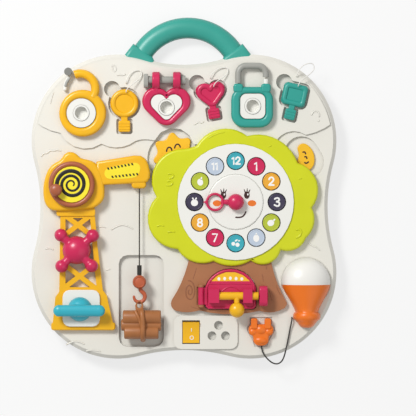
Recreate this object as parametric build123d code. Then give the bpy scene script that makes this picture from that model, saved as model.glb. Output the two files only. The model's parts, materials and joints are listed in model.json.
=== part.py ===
from build123d import *
import os
from math import acos, atan2, cos, degrees, radians, sin, sqrt, tan

os.makedirs("parts", exist_ok=True)

# Busy board in moulded plastic, lying on its back. Millimetres: X to the right, Y towards the
# carrying handle, Z out of the play face. Z = 0 is the back of the back cover.

# ---- fits shared by every piece ----
running_gap = 0.06      # radial gap of a shaft or slide in its bore
seat_gap = 0.2          # a loose piece above the floor that it lies on
side_gap = 0.5          # a moving piece beside a wall

# ---- board ----
lobe_radius = 90.75     # the four round corners of the outline
lobe_x = 69.75          # their centres, either side of the middle
top_lobe_y = 50.4
bottom_lobe_y = -88.4
top_dip = 10.8          # how far each edge dips in between two corners
side_dip = 9.3
bottom_dip = 9.0
cover_thick = 2.5
face_z = 22.0           # the sky-level play face
skin = 2.2              # wall of every hollow moulding
edge_bevel = 3.6
cloud_height = 2.0      # raised cloud land and switch panel
cloud_z = face_z + cloud_height
cloud_inset = 5.2       # its rim inside the board's outline
cloud_left = [((-170, 88), (-152, 67)), ((-130, 58.5), (-110, 42.4)), ((-87, 47), (-68, 43.2)),
              ((-51, 50), (-44, 51.6))]
cloud_left_end = (-37, 51.5)
cloud_right = [((97, 50.5), (113, 60.2)), ((128, 56.4), (147, 63))]
cloud_right_end = (170, 84)
boss_radius = 4.0
screw_tip = 14.0
shaft_foot = 16.4
screw_radius = 1.5
screw_head_radius = 3.2
screw_head_depth = 1.6
screw_places = [(-138, 96), (146, 88), (-146, -100), (147, -118), (4, 112), (-4, -156)]
cavity_top = 12.5       # the hollow under the pockets

# ---- carrying handle ----
handle_centre = (4.2, 112.4)
handle_radius = 57.0    # centre line
handle_wide = 22.0
handle_thick = 16.0
handle_z = cover_thick + skin + 0.4 + handle_thick / 2 - 1.7
handle_angles = (20, 160)
handle_bevel = 4.5
sleeve = [(-57.6, 40.2), (-37.6, 26.6), (-32.6, 16.0), (-46.0, 4.0), (-66.0, 18.0), (-68.0, 27.0)]
sleeve_extra = 0.8      # the sleeves at its ends are this much thicker

# ---- locks ----
lock_height = 8.0
lock_top = cloud_z + lock_height
core_radius = 8.4
socket_radius = 6.5
core_floor = 1.4
core_proud = 1.2
plate_thick = 1.8
plate_proud = 0.4
lock_bevel = 1.2
round_lock = (-106.3, 78.9)
round_lock_radius = 24.7
round_plate = (-107.8, 79.2)
round_plate_radius = 15.3
arch_centre = (-108.9, 104.7)
arch_inner = 11.3
arch_outer = 20.5
arch_angles = (-34, 112)
gate_inner = 12.3
gate_outer = 19.3
collar_place = (-121.5, 122.6)
collar_cap_radius = 4.2
collar_pin_radius = 1.8
heart_lock = (-18.4, 85.0)
heart_size = 25.5       # half its width
heart_plate_size = 16.3
plump_heart = (0.57, 0.43, 0.264, 0.418, 0.325)     # lobe radius, offset, rise; tip radius, drop
slim_heart = (0.51, 0.49, 0.32, 0.33, 0.45)
ear_foot = 102.5        # the ears start here, above the plate
ear_offset = 10.6
ear_width = 8.8
ear_height = 10.6
bar_y = 113.6
bar_radius = 4.0
bar_knob_thick = 4.6
bar_knob_size = (14.6, 10.1)
bar_knob_drop = 0.7
bar_slack = 4.2
square_lock = (71.5, 85.2)
square_lock_size = (44.2, 42.9)
square_lock_corner = 14.0
square_plate_size = 26.3
square_plate_corner = 6.3
square_plate = (72.1, 86.3)
shoulder_width = 10.5
shoulder_top = 111.0
shoulder_foot = 102.0
shoulder_rise = 1.8
shackle_left_x = 56.9
shackle_right_x = 85.9
shackle_top_y = 128.8
shackle_radius = 3.1
shackle_bend = 7.5
shackle_right_end = 116.8
post_top = 114.8
pivot_depth = 9.0

# ---- keys ----
key_thick = 7.5
key_floor_z = 20.5
key_z = key_floor_z + seat_gap
key_margin = 2.2        # pocket round the key
bow_recess = 1.6
bit_corner = 1.4
round_key = (-62.6, 89.4)
round_key_tilt = 0
round_bow_radius = 15.0
heart_key = (28.4, 98.4)
heart_key_tilt = 9
heart_bow_size = 15.6
square_key = (116.2, 98.4)
square_key_tilt = -13
square_bow_size = (26.0, 23.6)
square_bow_corner = 4.5
notch_radius = 8.4
notch_depth = 6.0
round_notch = (-75.7, 104.7)
heart_notch = (13.7, 111.0)
square_notch = (105.2, 112.0)
tether_radius = 0.5
key_top = key_z + key_thick
round_tether = [(-61, 110.5, cloud_z), (-61, 110.5, 26.3), (-60.4, 114.4, 27.4), (-57.6, 119.8, 26.4),
                (-52.2, 124, 25.6), (-45.6, 124.6, 25.4), (-43.6, 118.6, 25.4), (-49.5, 112.8, 27.6),
                (-55.4, 108.6, 30.4), (-59.2, 105.2, 31.5), (-60.7, 102.4, 30.8), (-60.8, 101, 29.9),
                (-60.8, 101, key_top)]
heart_tether = [(27.6, 115.6, cloud_z), (27.6, 115.6, 26.3), (28.6, 119.2, 27.4), (32.2, 123.8, 26.4),
                (38.4, 127, 25.8), (45.4, 127.4, 25.4), (46.8, 121.8, 25.4), (41.2, 116.8, 27.6),
                (35.4, 113.0, 30.4), (32.4, 110.2, 31.4), (31.3, 108.2, 30.8), (31.2, 106.8, 29.9),
                (31.2, 106.8, key_top)]
square_tether = [(118.2, 117.6, cloud_z), (118.2, 117.6, 26.2), (119.2, 121.6, 27.3), (122.6, 127.2, 26.6),
                 (128.6, 131.4, 24.8), (136, 131.8, 21.8), (137.6, 125.6, 21.3), (132.2, 120, 25.2),
                 (126, 115.8, 29.4), (122, 112.2, 31.4), (120.1, 108.8, 30.8), (119.8, 107.4, 29.9),
                 (119.8, 107.4, key_top)]

# ---- crane ----
cabin_outline = [(-147.9, -0.7), (-146.3, 10.3), (-142.0, 21.3), (-135.9, 26.6), (-129.2, 29.9), (-126.4, 34.7),
                 (-123.4, 37.2), (-119.2, 38.0), (-114.0, 36.8), (-109.0, 32.3), (-107.0, 31.1), (-100.5, 29.9),
                 (-93.7, 27.4), (-89.2, 21.3), (-85.6, 12.0), (-83.9, 4.2), (-83.3, -6.9), (-85.7, -13.0),
                 (-93.1, -19.6), (-100.4, -21.6), (-133.5, -24.0), (-142.0, -20.3), (-146.3, -13.0)]
cabin_side = -84.2              # its wall on the boom's side
cabin_top = face_z + 12.5
boom_points = [(-94.2, 3.2), (-55.0, 4.8), (-40.5, 5.2), (-36.8, 8.5), (-35.6, 16.4), (-37.4, 25.0),
               (-40.5, 31.1), (-45.4, 34.5), (-52.7, 34.6), (-94.2, 27.6)]
boom_hollow = [(-82.0, 6.8), (-40.0, 9.0), (-39.4, 23.0), (-47.4, 31.6), (-82.0, 26.0)]
boom_height = 12.0
sign_size = (38.0, 15.5)
sign_corner = 4.0
boom_bevel = 1.0
sign_place = (-55.5, 20.2)
sign_tilt = 9
sign_proud = 0.8
nozzle_x = -46.8
nozzle = (-47.4, 4.0, 15.6, 8.2, 3.4)      # middle, size and corner of the mouth under the tip
crank = (-117.5, 4.2)
crank_radius = 24.2
crank_face_radius = 18.9
crank_thick = 6.0
crank_face_thick = 1.2
crank_knob = (-133.6, -1.6)
crank_knob_radius = 6.8
crank_knob_height = 11.0
shaft_radius = 4.0
string_radius = 0.65
string_z = 29.6
spool_radius = 12.3             # barrel; the string's centre line lies at 13
spool_flange = 15.5
spool_width = 4.0
bend_radius = 5.0
string_end_y = -80.5
crimp_radius = 2.4
hook_ball_y = -98.0
hook_ball_radius = 7.1
hook_bend = 5.8
hook_rod = 1.8
eye_inner = 4.0
eye_thick = 2.4
eye_slack = 0.9         # what the load's eye hangs below the hook
log_x = (-66.0, -23.6)
log_radii = (7.2, 7.9, 6.2)
log_y = (-134.4, -149.6, -142.0)
strap_width = 10.0
strap_thick = 0.9
tray = (-68.6, -21.2, -166.5, -70.0)
tray_floor = 17.5
tray_corner = 9.5
tower_top_y = -26.9
tower_points = [(-129.8, tower_top_y), (-131.0, -108.4), (-135.0, -114.0), (-137.8, -142.2), (-137.8, -144.8),
                (-73.5, -144.8), (-76.0, -134.8), (-79.1, -121.4), (-80.9, -112.8), (-85.2, -106.7),
                (-90.7, -61.4), (-93.7, tower_top_y)]
tower_window = [(-124.4, -31.0), (-124.4, -103.6), (-91.8, -103.6), (-96.0, -61.4), (-98.6, -31.0)]
tower_crossings = [(-111.4, -38.4), (-109.6, -92.0)]    # where the braces cross
brace_reach = (19.0, 14.5)
tower_thick = 6.5
brace_width = 5.2
foot_size = (67.4, 8.2)
foot_centre = (-105.8, -144.8)
collar_size = (40.4, 8.4)
collar_centre = (-113.6, -24.6)
four_arm = (-112.6, -64.7)
four_arm_reach = 23.3
four_arm_angles = (42, 136, 227, 314)
four_arm_lobe = 6.4
four_arm_width = 9.2
four_arm_hub = 14.8
four_arm_rise = 14.0
wing = (-109.6, -127.8)
wing_plate_size = (39.2, 38.6)
wing_plate_place = (-107.8, -125.6)
wing_plate_thick = 3.0
wing_length = 54.6
wing_width = 12.6
wing_thick = 8.0
wing_hub = 12.9
wing_hub_rise = 7.0      # the bar starts above the dome

# ---- clock in the tree ----
dial = (54.2, -14.2)
dial_radius = 61.0
dial_seat_radius = 58.7
dial_low = 25.0
dial_top = 31.5
lip_thick = 1.5
dial_centre_radius = 29.3
dial_hub_radius = 24.0
dial_ring_radius = 43.2         # circle of the twelve flip discs
flip_radius = 9.0
flip_thick = 5.0
flip_hole = 9.8
pivot_radius = 1.5
pivot_length = 1.5
flip_sides = 20         # the flip discs and their holes are cut this coarse
pivot_sides = 6
well_radius = 53.6
well_floor = 17.0
crown_z = 30.0
crown_points = [((13.3, 45.3), (38.9, 62.6)), ((66.3, 55.2), (100.4, 50.4)), ((119.3, 27.0), (139.5, 7.9)),
                ((134.4, -20.3), (137.0, -35.2)), ((128.1, -52.1), (116.8, -64.2)),
                ((101.6, -64.7), (87.3, -79.4)), ((70.1, -75.8), (51.5, -81.5)),
                ((30.9, -76.5), (10.0, -77.3)), ((-6.9, -63.9), (-36.6, -41.6)),
                ((-29.0, -8.9), (-31.0, 22.6)), ((0.6, 41.6), (7.2, 43.0))]
crown_seat = 58.7       # the crown's points are drawn round a dial seat of this radius
hand_shaft = 3.0
hand_ball_radius = 8.6
hand_ball_rise = 12.0
hand_ring = (-21.8, 9.8, 6.8)   # its place from the shaft, outer and inner radius
hand_tip = -34.5
hand_thick = 3.4
rocker_low = 19.2
rocker_thick = 2.5
rocker_floor = 19.0
rocker_ring = (55.2, 59.8)
rocker_swing = 3.5              # degrees each way
sun = (-10.2, 36.1)
sun_reach = 24.4
sun_rays = 7
sun_first_ray = 45
# one ray as angles and shares of the reach
sun_ray = [(-25.7, 0.72), (-14, 0.82), (-7, 0.97), (0, 1.0), (7, 0.97), (14, 0.82)]
moon = (126.4, 32.6)
moon_reach = 17.0
moon_outline = [(119.4, 43.4), (121.1, 46.2), (125.9, 47.9), (130.6, 45.8), (134.5, 41.5), (136.9, 36.2),
                (137.8, 30.5), (136.9, 24.7), (134.5, 21.0), (130.0, 17.6), (124.0, 17.0), (118.0, 19.6),
                (114.6, 24.0), (117.7, 27.6), (119.6, 30.0), (120.8, 33.8), (120.6, 37.6), (119.4, 41.0)]
sun_bay = [(-30.9, 50.6), (-10.3, 63.7), (10.3, 46.3)]  # the round bay that the raised land leaves over the sun

# ---- trunk with its latch door ----
trunk_points = [((6.0, -70.0), (-1.2, -95)), ((-13, -117.5), (-13, -124.5)), ((-6, -129), (5, -130)),
                ((15.8, -128), (47, -132.2)), ((79.4, -128.4), (93.6, -130)), ((104, -126.5), (107.3, -123.5)),
                ((107.8, -119.5), (96.8, -96))]
trunk_end = (90.5, -70.0)
trunk_z = 26.5
door_x = (22.3, 75.6)
door_corner = 3.0
door_bottom = -126.6
door_spring = -103.5            # where the straight sides end
door_top = -84.4
door_z = (24.0, 29.0)
door_gap = 0.6
door_window = (28.0, 69.4, -97.3, -87.4)
door_hole_floor = 15.0
door_rebate = 2.5       # the hollow behind the door is this much smaller all round
hinge_x = 18.0
hinge_z = 30.0
hinge_y = (-103.8, -121.8)
knuckle_radius = 3.2
hinge_pin = 1.5
ear_length = 2.6
bolt_y = -112.6
bolt_z = 34.2
bolt_radius = 4.3
bolt_start = 31.6
bolt_short = 0.5        # the bolt ends this much before the keeper
guide_spans = ((25.8, 36.8), (61.8, 71.6))
guide_width = 14.4
guide_top = 39.6
keeper_gap = 3.0        # the keeper stands this far from the door
keeper_length = 9.2
keeper_width = 22.0
keeper_corner = 3.4
stem_x = 55.3
stem_radius = 2.7
bolt_knob = (55.3, -127.2)
bolt_knob_radius = 8.0
bolt_knob_z = (29.8, 44.0)

# ---- switch panel, plug and lamp ----
panel = (-10.8, 56.4, -168.8, -133.6)
panel_corner = 7.4
switch = (7.4, -151.0)
switch_size = (17.6, 22.8)
switch_pivot_z = 20.4
switch_tilt = 7
switch_rise = 5.0
pivot_reach = 1.6
dimples = [(36.3, -143.8), (29.4, -154.8), (43.6, -154.8)]
dimple_radius = 4.7
dimple_floor = 19.0
plug_x = 80.9
plug_end = -165.4
plug_half = [(4.0, -140.0), (10.6, -140.0), (10.9, -142.8), (13.4, -145.9), (13.7, -149.2), (7.4, -160.6),
             (5.6, plug_end)]       # half its outline, from the middle of the top down
plug_thick = 9.4
plug_z = 20.6
prong_radius = 3.3
prong_top = -136.2
prong_root = -148.0
prong_offset = 7.4
prong_lift = 0.9        # the prongs ride this much above the body's middle
plug_margin = 1.0
plug_cord_radius = 0.75
plug_cord_z = 23.6
plug_cord = [(81.6, plug_end, plug_cord_z), (81.8, -170.2, plug_cord_z), (84.6, -175.4, 23.6),
             (88.6, -180.2, 23.2), (93.6, -184, 22.2), (99, -184.8, 21.6), (103.4, -181.4, 22.4),
             (105.8, -175.2, 23.6), (107.6, -167.2, 23.7), (109.6, -158, 23.7), (111.2, -149, 23.8),
             (112.6, -142.2, 25), (113.3, -137.9, 25.8), (113.4, -135.8, 24.2), (113.4, -135.8, face_z)]
lamp = (128.3, -98.4)
globe_radius = 25.8
globe_split = -101.0
globe_rise = 20.0
globe_steps = [(1.0, 0.0), (0.95, 0.45), (0.82, 0.75), (0.52, 1.0)]    # share of the radius and of the rise
lamp_axis_x = 129.1
lamp_half = [(24.1, -104.0), (21.6, -106.6), (17.8, -111.3), (13.9, -118.0), (12.1, -124.6), (11.4, -131.0)]
lamp_collar = (14.4, -130.4, -139.4)    # half its width, then its two edges
lamp_tip = (8.3, -146.2)
lamp_base_rise = 15.0
lamp_bevel = 3.6
lamp_gap = 0.3

# ---- how coarse the round mouldings are cut ----
fine_sides = 40
round_sides = 24
small_sides = 12
arc_cuts = 5


# ================= shared shapes =================

def slab(outline, low, high):
    # a flat outline raised between two heights
    return extrude(Pos(0, 0, low) * outline, high - low, dir=(0, 0, 1))


def shaft(centre, radius, low, high):
    # a true round, for whatever turns or is turned in
    base = (Align.CENTER, Align.CENTER, Align.MIN)
    return Pos(centre[0], centre[1], low) * Cylinder(radius, high - low, align=base)


def round_face(centre, radius, sides=round_sides):
    return Pos(centre[0], centre[1]) * RegularPolygon(radius, sides)


def disc(centre, radius, low, high, sides=round_sides):
    # a round moulding, cut to a number of flats
    return slab(round_face(centre, radius, sides), low, high)


def cone(centre, low_radius, high_radius, low, high, sides=round_sides):
    slope = degrees(atan2((low_radius - high_radius) * cos(radians(180 / sides)), high - low))
    return extrude(Pos(0, 0, low) * round_face(centre, low_radius, sides), high - low, taper=slope)


def block(x, y, z):
    # a box from three (low, high) pairs
    middle = Pos((x[0] + x[1]) / 2, (y[0] + y[1]) / 2, (z[0] + z[1]) / 2)
    return middle * Box(x[1] - x[0], y[1] - y[0], z[1] - z[0])


def cut_rectangle(centre, width, height, corner):
    # a rectangle whose round corners are cut to three flats each
    points = []
    for turn, (side, rise) in zip((0, 90, 180, 270), ((1, 1), (-1, 1), (-1, -1), (1, -1))):
        middle = (centre[0] + side * (width / 2 - corner), centre[1] + rise * (height / 2 - corner))
        points += [polar(middle, corner, turn + step * 30) for step in range(4)]
    return inside(points)


def bar(start, end, width):
    # a straight strip between two points of the face
    run = Vector(*end) - Vector(*start)
    middle = (Vector(*end) + Vector(*start)) / 2
    return Pos(middle.X, middle.Y) * Rot(0, 0, degrees(atan2(run.Y, run.X))) * Rectangle(run.length, width)


def rod(start, end, radius):
    # a round bar between two points in space
    run = Vector(*end) - Vector(*start)
    return Solid.make_cylinder(radius, run.length, Plane(origin=start, z_dir=run))


def bevelled(solid, amount):
    # the rim of the top face, broken
    top = solid.faces().sort_by(Axis.Z)[-1]
    return chamfer(top.outer_wire().edges(), amount)


def turned(point, centre, angle):
    # a point of the face, turned about a centre
    spot = Vector(point[0] - centre[0], point[1] - centre[1]).rotate(Axis.Z, angle)
    return (spot.X + centre[0], spot.Y + centre[1])


def inside(points):
    # the face inside a closed row of points, whichever way round they run
    area = sum(a[0] * b[1] - b[0] * a[1] for a, b in zip(points, points[1:] + points[:1]))
    return Polygon(*(points if area > 0 else reversed(points)), align=None)


def polar(centre, radius, angle):
    return (centre[0] + radius * cos(radians(angle)), centre[1] + radius * sin(radians(angle)))


def arc_chain(spans, end):
    # arcs in a row, each from its start through its middle point to where the next one starts,
    # given as the points of their flats
    stops = [start for start, middle in spans[1:]] + [end]
    points = []
    for (start, middle), stop in zip(spans, stops):
        arc = ThreePointArc(start, middle, stop)
        points += [arc @ (step / arc_cuts) for step in range(arc_cuts)]
    return [(point.X, point.Y) for point in points] + [end]


def ring_sector(centre, inner, outer, start, end):
    # part of a flat ring between two angles
    cuts = max(4, round(abs(end - start) / 12))
    turns = [start + (end - start) * step / cuts for step in range(cuts + 1)]
    rim = [polar(centre, outer, turn) for turn in turns]
    bore = [polar(centre, inner, turn) for turn in reversed(turns)]
    return inside([*rim, *bore])


def heart(centre, half_width, form, margin=0.0):
    # two round lobes drawn to one round tip; the form gives their shares of the half width
    lobe_radius_share, offset_share, rise_share, tip_share, drop_share = form
    lobe, tip_end = lobe_radius_share * half_width + margin, tip_share * half_width + margin
    across, rise, drop = offset_share * half_width, rise_share * half_width, drop_share * half_width
    lean = degrees(atan2(rise + drop, across))
    apart = sqrt(across ** 2 + (rise + drop) ** 2)
    flank = lean - degrees(acos((tip_end - lobe) / apart))      # where the straight flank leaves both rounds
    notch = degrees(atan2(sqrt(lobe ** 2 - across ** 2), -across))
    right = [polar((across, rise), lobe, notch + (flank - notch) * step / 9) for step in range(10)]
    right += [polar((0, -drop), tip_end, flank + (-90 - flank) * step / 3) for step in range(4)]
    left = [(-x, y) for x, y in reversed(right[1:-1])]
    return Pos(centre[0], centre[1]) * inside([*right, *left])


def cord_solid(points, radius, sides=6):
    # a cord along straight runs joined by tangent arcs, each as large as its two runs allow
    spots = [Vector(*p) for p in points]
    radii = []
    for before, here, after in zip(spots, spots[1:], spots[2:]):
        turn = (here - before).get_angle(after - here)
        shorter = min((here - before).length, (after - here).length)
        radii.append(0.45 * shorter / tan(radians(turn) / 2))
    path = FilletPolyline(*spots, radius=radii)
    section = Plane(origin=path @ 0, z_dir=path % 0) * RegularPolygon(radius, sides)
    solid = sweep(section, path=path)
    expected = section.area * path.length
    print("cord radii", [round(r, 1) for r in radii], "length", round(path.length, 1),
          "volume ratio", round(solid.volume / expected, 4))
    return solid


# ================= board =================

def board_outline(inset=0.0):
    # four round corners joined by shallow hollow arcs, all tangent; the inset is exact
    centres = [Vector(-lobe_x, top_lobe_y), Vector(lobe_x, top_lobe_y),
               Vector(lobe_x, bottom_lobe_y), Vector(-lobe_x, bottom_lobe_y)]
    outward = [Vector(0, 1), Vector(1, 0), Vector(0, -1), Vector(-1, 0)]
    dips = [top_dip, side_dip, bottom_dip, side_dip]
    radius = lobe_radius - inset
    hollows = []
    for index in range(4):
        first, second = centres[index], centres[(index + 1) % 4]
        half = (second - first).length / 2
        middle = (first + second) / 2
        crest = lobe_radius - dips[index]
        hollow = (half ** 2 + crest ** 2 - lobe_radius ** 2) / (2 * dips[index])
        centre = middle + outward[index] * (crest + hollow)
        start = first + (centre - first).normalized() * radius
        end = second + (centre - second).normalized() * radius
        hollows.append((start, middle + outward[index] * (crest - inset), end))
    edges = []
    for index in range(4):
        corner = centres[(index + 1) % 4]
        direction = (outward[index] + outward[(index + 1) % 4]).normalized()
        edges.append(ThreePointArc(*hollows[index]))
        edges.append(ThreePointArc(hollows[index][2], corner + direction * radius,
                                   hollows[(index + 1) % 4][0]))
    return make_face(edges)


def cloud_outline():
    # the raised land at the top: the board's outline above a scalloped edge
    far = 2 * lobe_radius
    bay = arc_chain([(sun_bay[0], sun_bay[1])], sun_bay[2])
    points = [*arc_chain(cloud_left, cloud_left_end), *bay, *arc_chain(cloud_right, cloud_right_end),
              (cloud_right_end[0], far), (cloud_left[0][0][0], far)]
    return board_outline(cloud_inset) & inside(points)


def round_key_face(margin=0.0):
    return (round_face((0, 0), round_bow_radius + margin)
            + Pos(0, -16) * Rectangle(7 + 2 * margin, 8)
            + key_bit(-24, 12.6, 12, margin))


def key_bit(middle, width, height, margin):
    return cut_rectangle((0, middle), width + 2 * margin, height + 2 * margin, bit_corner + margin / 2)


def heart_key_face(margin=0.0):
    return (heart((0, 0), heart_bow_size, slim_heart, margin)
            + Pos(0, -12.5) * Rectangle(7 + 2 * margin, 8)
            + key_bit(-20, 12.4, 10.8, margin))


def square_key_face(margin=0.0):
    return (cut_rectangle((0, 0), square_bow_size[0] + 2 * margin, square_bow_size[1] + 2 * margin,
                          square_bow_corner + margin)
            + Pos(0, -13.5) * Rectangle(6.6 + 2 * margin, 8)
            + key_bit(-21, 11.4, 11.2, margin))


def key_places():
    # each key's outline, place, tilt and finger notch
    return [(round_key_face, round_key, round_key_tilt, round_notch),
            (heart_key_face, heart_key, heart_key_tilt, heart_notch),
            (square_key_face, square_key, square_key_tilt, square_notch)]


def rocker_track():
    # where the ring with the sun and the moon swings, with its side gap
    track = (round_face(dial, rocker_ring[1] + 2 * side_gap, fine_sides)
             - round_face(dial, rocker_ring[0] - side_gap, fine_sides))
    for place, reach in ((sun, sun_reach), (moon, moon_reach)):
        for swing in (-rocker_swing, 0, rocker_swing):
            track += round_face(turned(place, dial, swing), reach + 2 * side_gap)
        middle = Vector(*place) - Vector(*dial)
        start = Vector(*dial) + middle.normalized() * rocker_ring[0]
        track += bar((start.X, start.Y), place, 24)
    return track


def plug_face(margin=0.0):
    top, bottom = plug_half[0][1], plug_half[-1][1]
    shift = {top: margin, bottom: -margin}
    right = [(x + margin, y + shift.get(y, 0)) for x, y in plug_half[1:]]
    left = [(-x, y) for x, y in reversed(right)]
    return Pos(plug_x, 0) * inside([*right, *left])


def plug_pocket():
    # the plug with its two prongs
    high = prong_top + plug_margin
    width = 2 * (prong_offset + prong_radius + plug_margin)
    return plug_face(plug_margin) + Pos(plug_x, (high + prong_root) / 2) * Rectangle(width, high - prong_root)


def door_outline(margin=0.0):
    left, right = door_x[0] - margin, door_x[1] + margin
    low = door_bottom - margin
    arch = ThreePointArc((left, door_spring), ((left + right) / 2, door_top + margin), (right, door_spring))
    points = [arch @ (step / (2 * arc_cuts)) for step in range(2 * arc_cuts + 1)]
    points = [(point.X, point.Y) for point in points]
    points += [(right, low + door_corner), (right - door_corner, low), (left + door_corner, low),
               (left, low + door_corner)]
    return inside(points)


def front_shell():
    body = slab(board_outline(), cover_thick, face_z)
    body = bevelled(body, edge_bevel)
    body += slab(cloud_outline() - crown_face(), face_z - 0.5, cloud_z)
    panel_centre = ((panel[0] + panel[1]) / 2, (panel[2] + panel[3]) / 2)
    panel_size = (panel[1] - panel[0], panel[3] - panel[2])
    body += slab(cut_rectangle(panel_centre, *panel_size, panel_corner), face_z - 0.5, cloud_z)
    body -= slab(board_outline(skin), cover_thick, cavity_top)

    # the pockets in the face, each with its floor
    tray_centre = ((tray[0] + tray[1]) / 2, (tray[2] + tray[3]) / 2)
    pockets = [(cut_rectangle(tray_centre, tray[1] - tray[0], tray[3] - tray[2], tray_corner), tray_floor),
               (round_face(dial, well_radius, fine_sides), well_floor),
               (plug_pocket(), plug_z - seat_gap),
               (door_outline(-door_rebate), door_hole_floor),
               (Pos(*switch) * Rectangle(*switch_well()), switch_pivot_z - switch_rise - 1.0)]
    for outline, place, tilt, notch in key_places():
        pockets.append((Pos(place[0], place[1]) * Rot(0, 0, tilt) * outline(key_margin), key_floor_z))
        pockets.append((round_face(notch, notch_radius), cloud_z - notch_depth))
    for place in dimples:
        pockets.append((round_face(place, dimple_radius, small_sides), dimple_floor))
    for outline, floor in pockets:
        body -= slab(outline, floor, cloud_z + 1)
    body -= slab(rocker_track(), rocker_floor, face_z)
    body += disc(dial, dial_hub_radius + 4, well_floor, dial_low)

    # bores for the shafts, pins and screws, and the handle's sockets
    body -= shaft(collar_place, collar_pin_radius + running_gap, face_z - 1.0, cloud_z + 1)
    for place in (crank, four_arm, wing):
        body -= shaft(place, shaft_radius + running_gap, shaft_foot - 0.4, face_z)
    body -= shaft(dial, hand_shaft + running_gap, dial_low - 6, dial_low)
    for place in screw_places:
        body += disc(place, boss_radius, cover_thick, cavity_top, small_sides)
        body -= disc(place, screw_radius, cover_thick, screw_tip + 1, small_sides)
    body -= handle_form(handle_angles[0] - 1, handle_angles[1] + 1, 0.1)
    reach = switch_size[0] / 2 + pivot_reach + side_gap
    body -= rod((switch[0] - reach, switch[1], switch_pivot_z), (switch[0] + reach, switch[1], switch_pivot_z),
                pivot_radius + running_gap)
    return body


def switch_well():
    return (switch_size[0] + 2 * side_gap, switch_size[1] + 2 * side_gap + 1.0)


def back_cover():
    cover = slab(board_outline(), 0, cover_thick)
    for place in screw_places:
        cover -= disc(place, screw_head_radius + 0.1, 0, screw_head_depth, small_sides)
        cover -= disc(place, screw_radius + 0.2, 0, cover_thick, small_sides)
    return cover


def cover_screws():
    screws = []
    for place in screw_places:
        base = Pos(place[0], place[1])
        head = slab(base * RegularPolygon(screw_head_radius, small_sides), 0.3, screw_head_depth)
        shank = slab(base * RegularPolygon(screw_radius - 0.05, 6), screw_head_depth, screw_tip)
        screws.append((head + shank).solid())
    return Compound(children=screws)


def handle_form(start, end, extra=0.0):
    # a curved bar of bevelled section, turned about the handle's centre
    half_wide = handle_wide / 2 + extra
    half_thick = handle_thick / 2 + extra
    corner = handle_bevel
    points = [(half_wide - corner, half_thick), (half_wide, half_thick - corner),
              (half_wide, corner - half_thick), (half_wide - corner, -half_thick),
              (corner - half_wide, -half_thick), (-half_wide, corner - half_thick),
              (-half_wide, half_thick - corner), (corner - half_wide, half_thick)]
    section = Pos(handle_radius, handle_z) * inside(points)
    face = Plane(origin=(0, 0, 0), x_dir=(cos(radians(start)), sin(radians(start)), 0),
                 z_dir=(sin(radians(start)), -cos(radians(start)), 0)) * section
    bar_form = revolve(face, Axis.Z, end - start)
    return Pos(handle_centre[0], handle_centre[1]) * bar_form


def handle():
    # the curved bar, with a flared sleeve at each end that sits against the board's edge
    form = handle_form(handle_angles[0], handle_angles[1])
    half = handle_thick / 2 + sleeve_extra
    for side in (-1, 1):
        points = [(handle_centre[0] - side * x, handle_centre[1] + y) for x, y in sleeve]
        outline = inside(points) - board_outline(-lamp_gap)
        form += slab(outline, handle_z - half, handle_z + half)
    return form


# ================= locks =================

def lock_with_seat(body, plate, core_place):
    # a lock body with a recess for its pale plate and a bore for its core
    body -= slab(plate, lock_top - plate_thick, lock_top + 1)
    body -= shaft(core_place, core_radius + running_gap, cloud_z, lock_top + 1)
    return body


def lock_core(place):
    core = shaft(place, core_radius, cloud_z + seat_gap, lock_top + core_proud)
    return core - disc(place, socket_radius, cloud_z + seat_gap + core_floor, lock_top + core_proud)


def lock_plate(outline, core_place):
    plate = slab(outline, lock_top - plate_thick, lock_top + plate_proud)
    return plate - disc(core_place, core_radius + 0.3, cloud_z, lock_top + 2)


def round_lock_body():
    body = bevelled(disc(round_lock, round_lock_radius, cloud_z, lock_top, fine_sides), lock_bevel)
    body += slab(ring_sector(arch_centre, arch_inner, arch_outer, *arch_angles), cloud_z, lock_top - 0.6)
    nub = polar(round_lock, round_lock_radius + 1.0, 141)
    body += disc(nub, 3.6, cloud_z, lock_top - 1.5)
    return lock_with_seat(body, round_face(round_plate, round_plate_radius), round_plate)


def round_lock_gate():
    gate = slab(ring_sector(arch_centre, gate_inner, gate_outer, 132, 191), cloud_z + seat_gap, lock_top - 1)
    gate += disc(collar_place, collar_cap_radius - 0.3, cloud_z + seat_gap, lock_top - 1)
    return gate - shaft(collar_place, collar_pin_radius + running_gap, 0, lock_top)


def round_lock_collar():
    cap = disc(collar_place, collar_cap_radius, lock_top - 0.8, lock_top + 1.2)
    return cap + shaft(collar_place, collar_pin_radius, face_z - 0.8, lock_top - 0.8)


def heart_lock_body():
    body = bevelled(slab(heart(heart_lock, heart_size, plump_heart), cloud_z, lock_top), lock_bevel)
    body += block((heart_lock[0] - ear_offset, heart_lock[0] + ear_offset), (ear_foot - 4, ear_foot + 3),
                  (cloud_z, lock_top - lock_bevel))
    for side in (-1, 1):
        middle = heart_lock[0] + side * ear_offset
        span = (middle - ear_width / 2, middle + ear_width / 2)
        ear = block(span, (ear_foot, bar_y), (cloud_z, cloud_z + ear_height))
        ear += rod((span[0], bar_y, cloud_z + ear_height / 2), (span[1], bar_y, cloud_z + ear_height / 2),
                   ear_height / 2)
        body += ear
    body -= rod((heart_lock[0] - 30, bar_y, cloud_z + ear_height / 2),
                (heart_lock[0] + 30, bar_y, cloud_z + ear_height / 2), bar_radius + running_gap)
    return lock_with_seat(body, heart(heart_lock, heart_plate_size, slim_heart), heart_lock)


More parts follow.
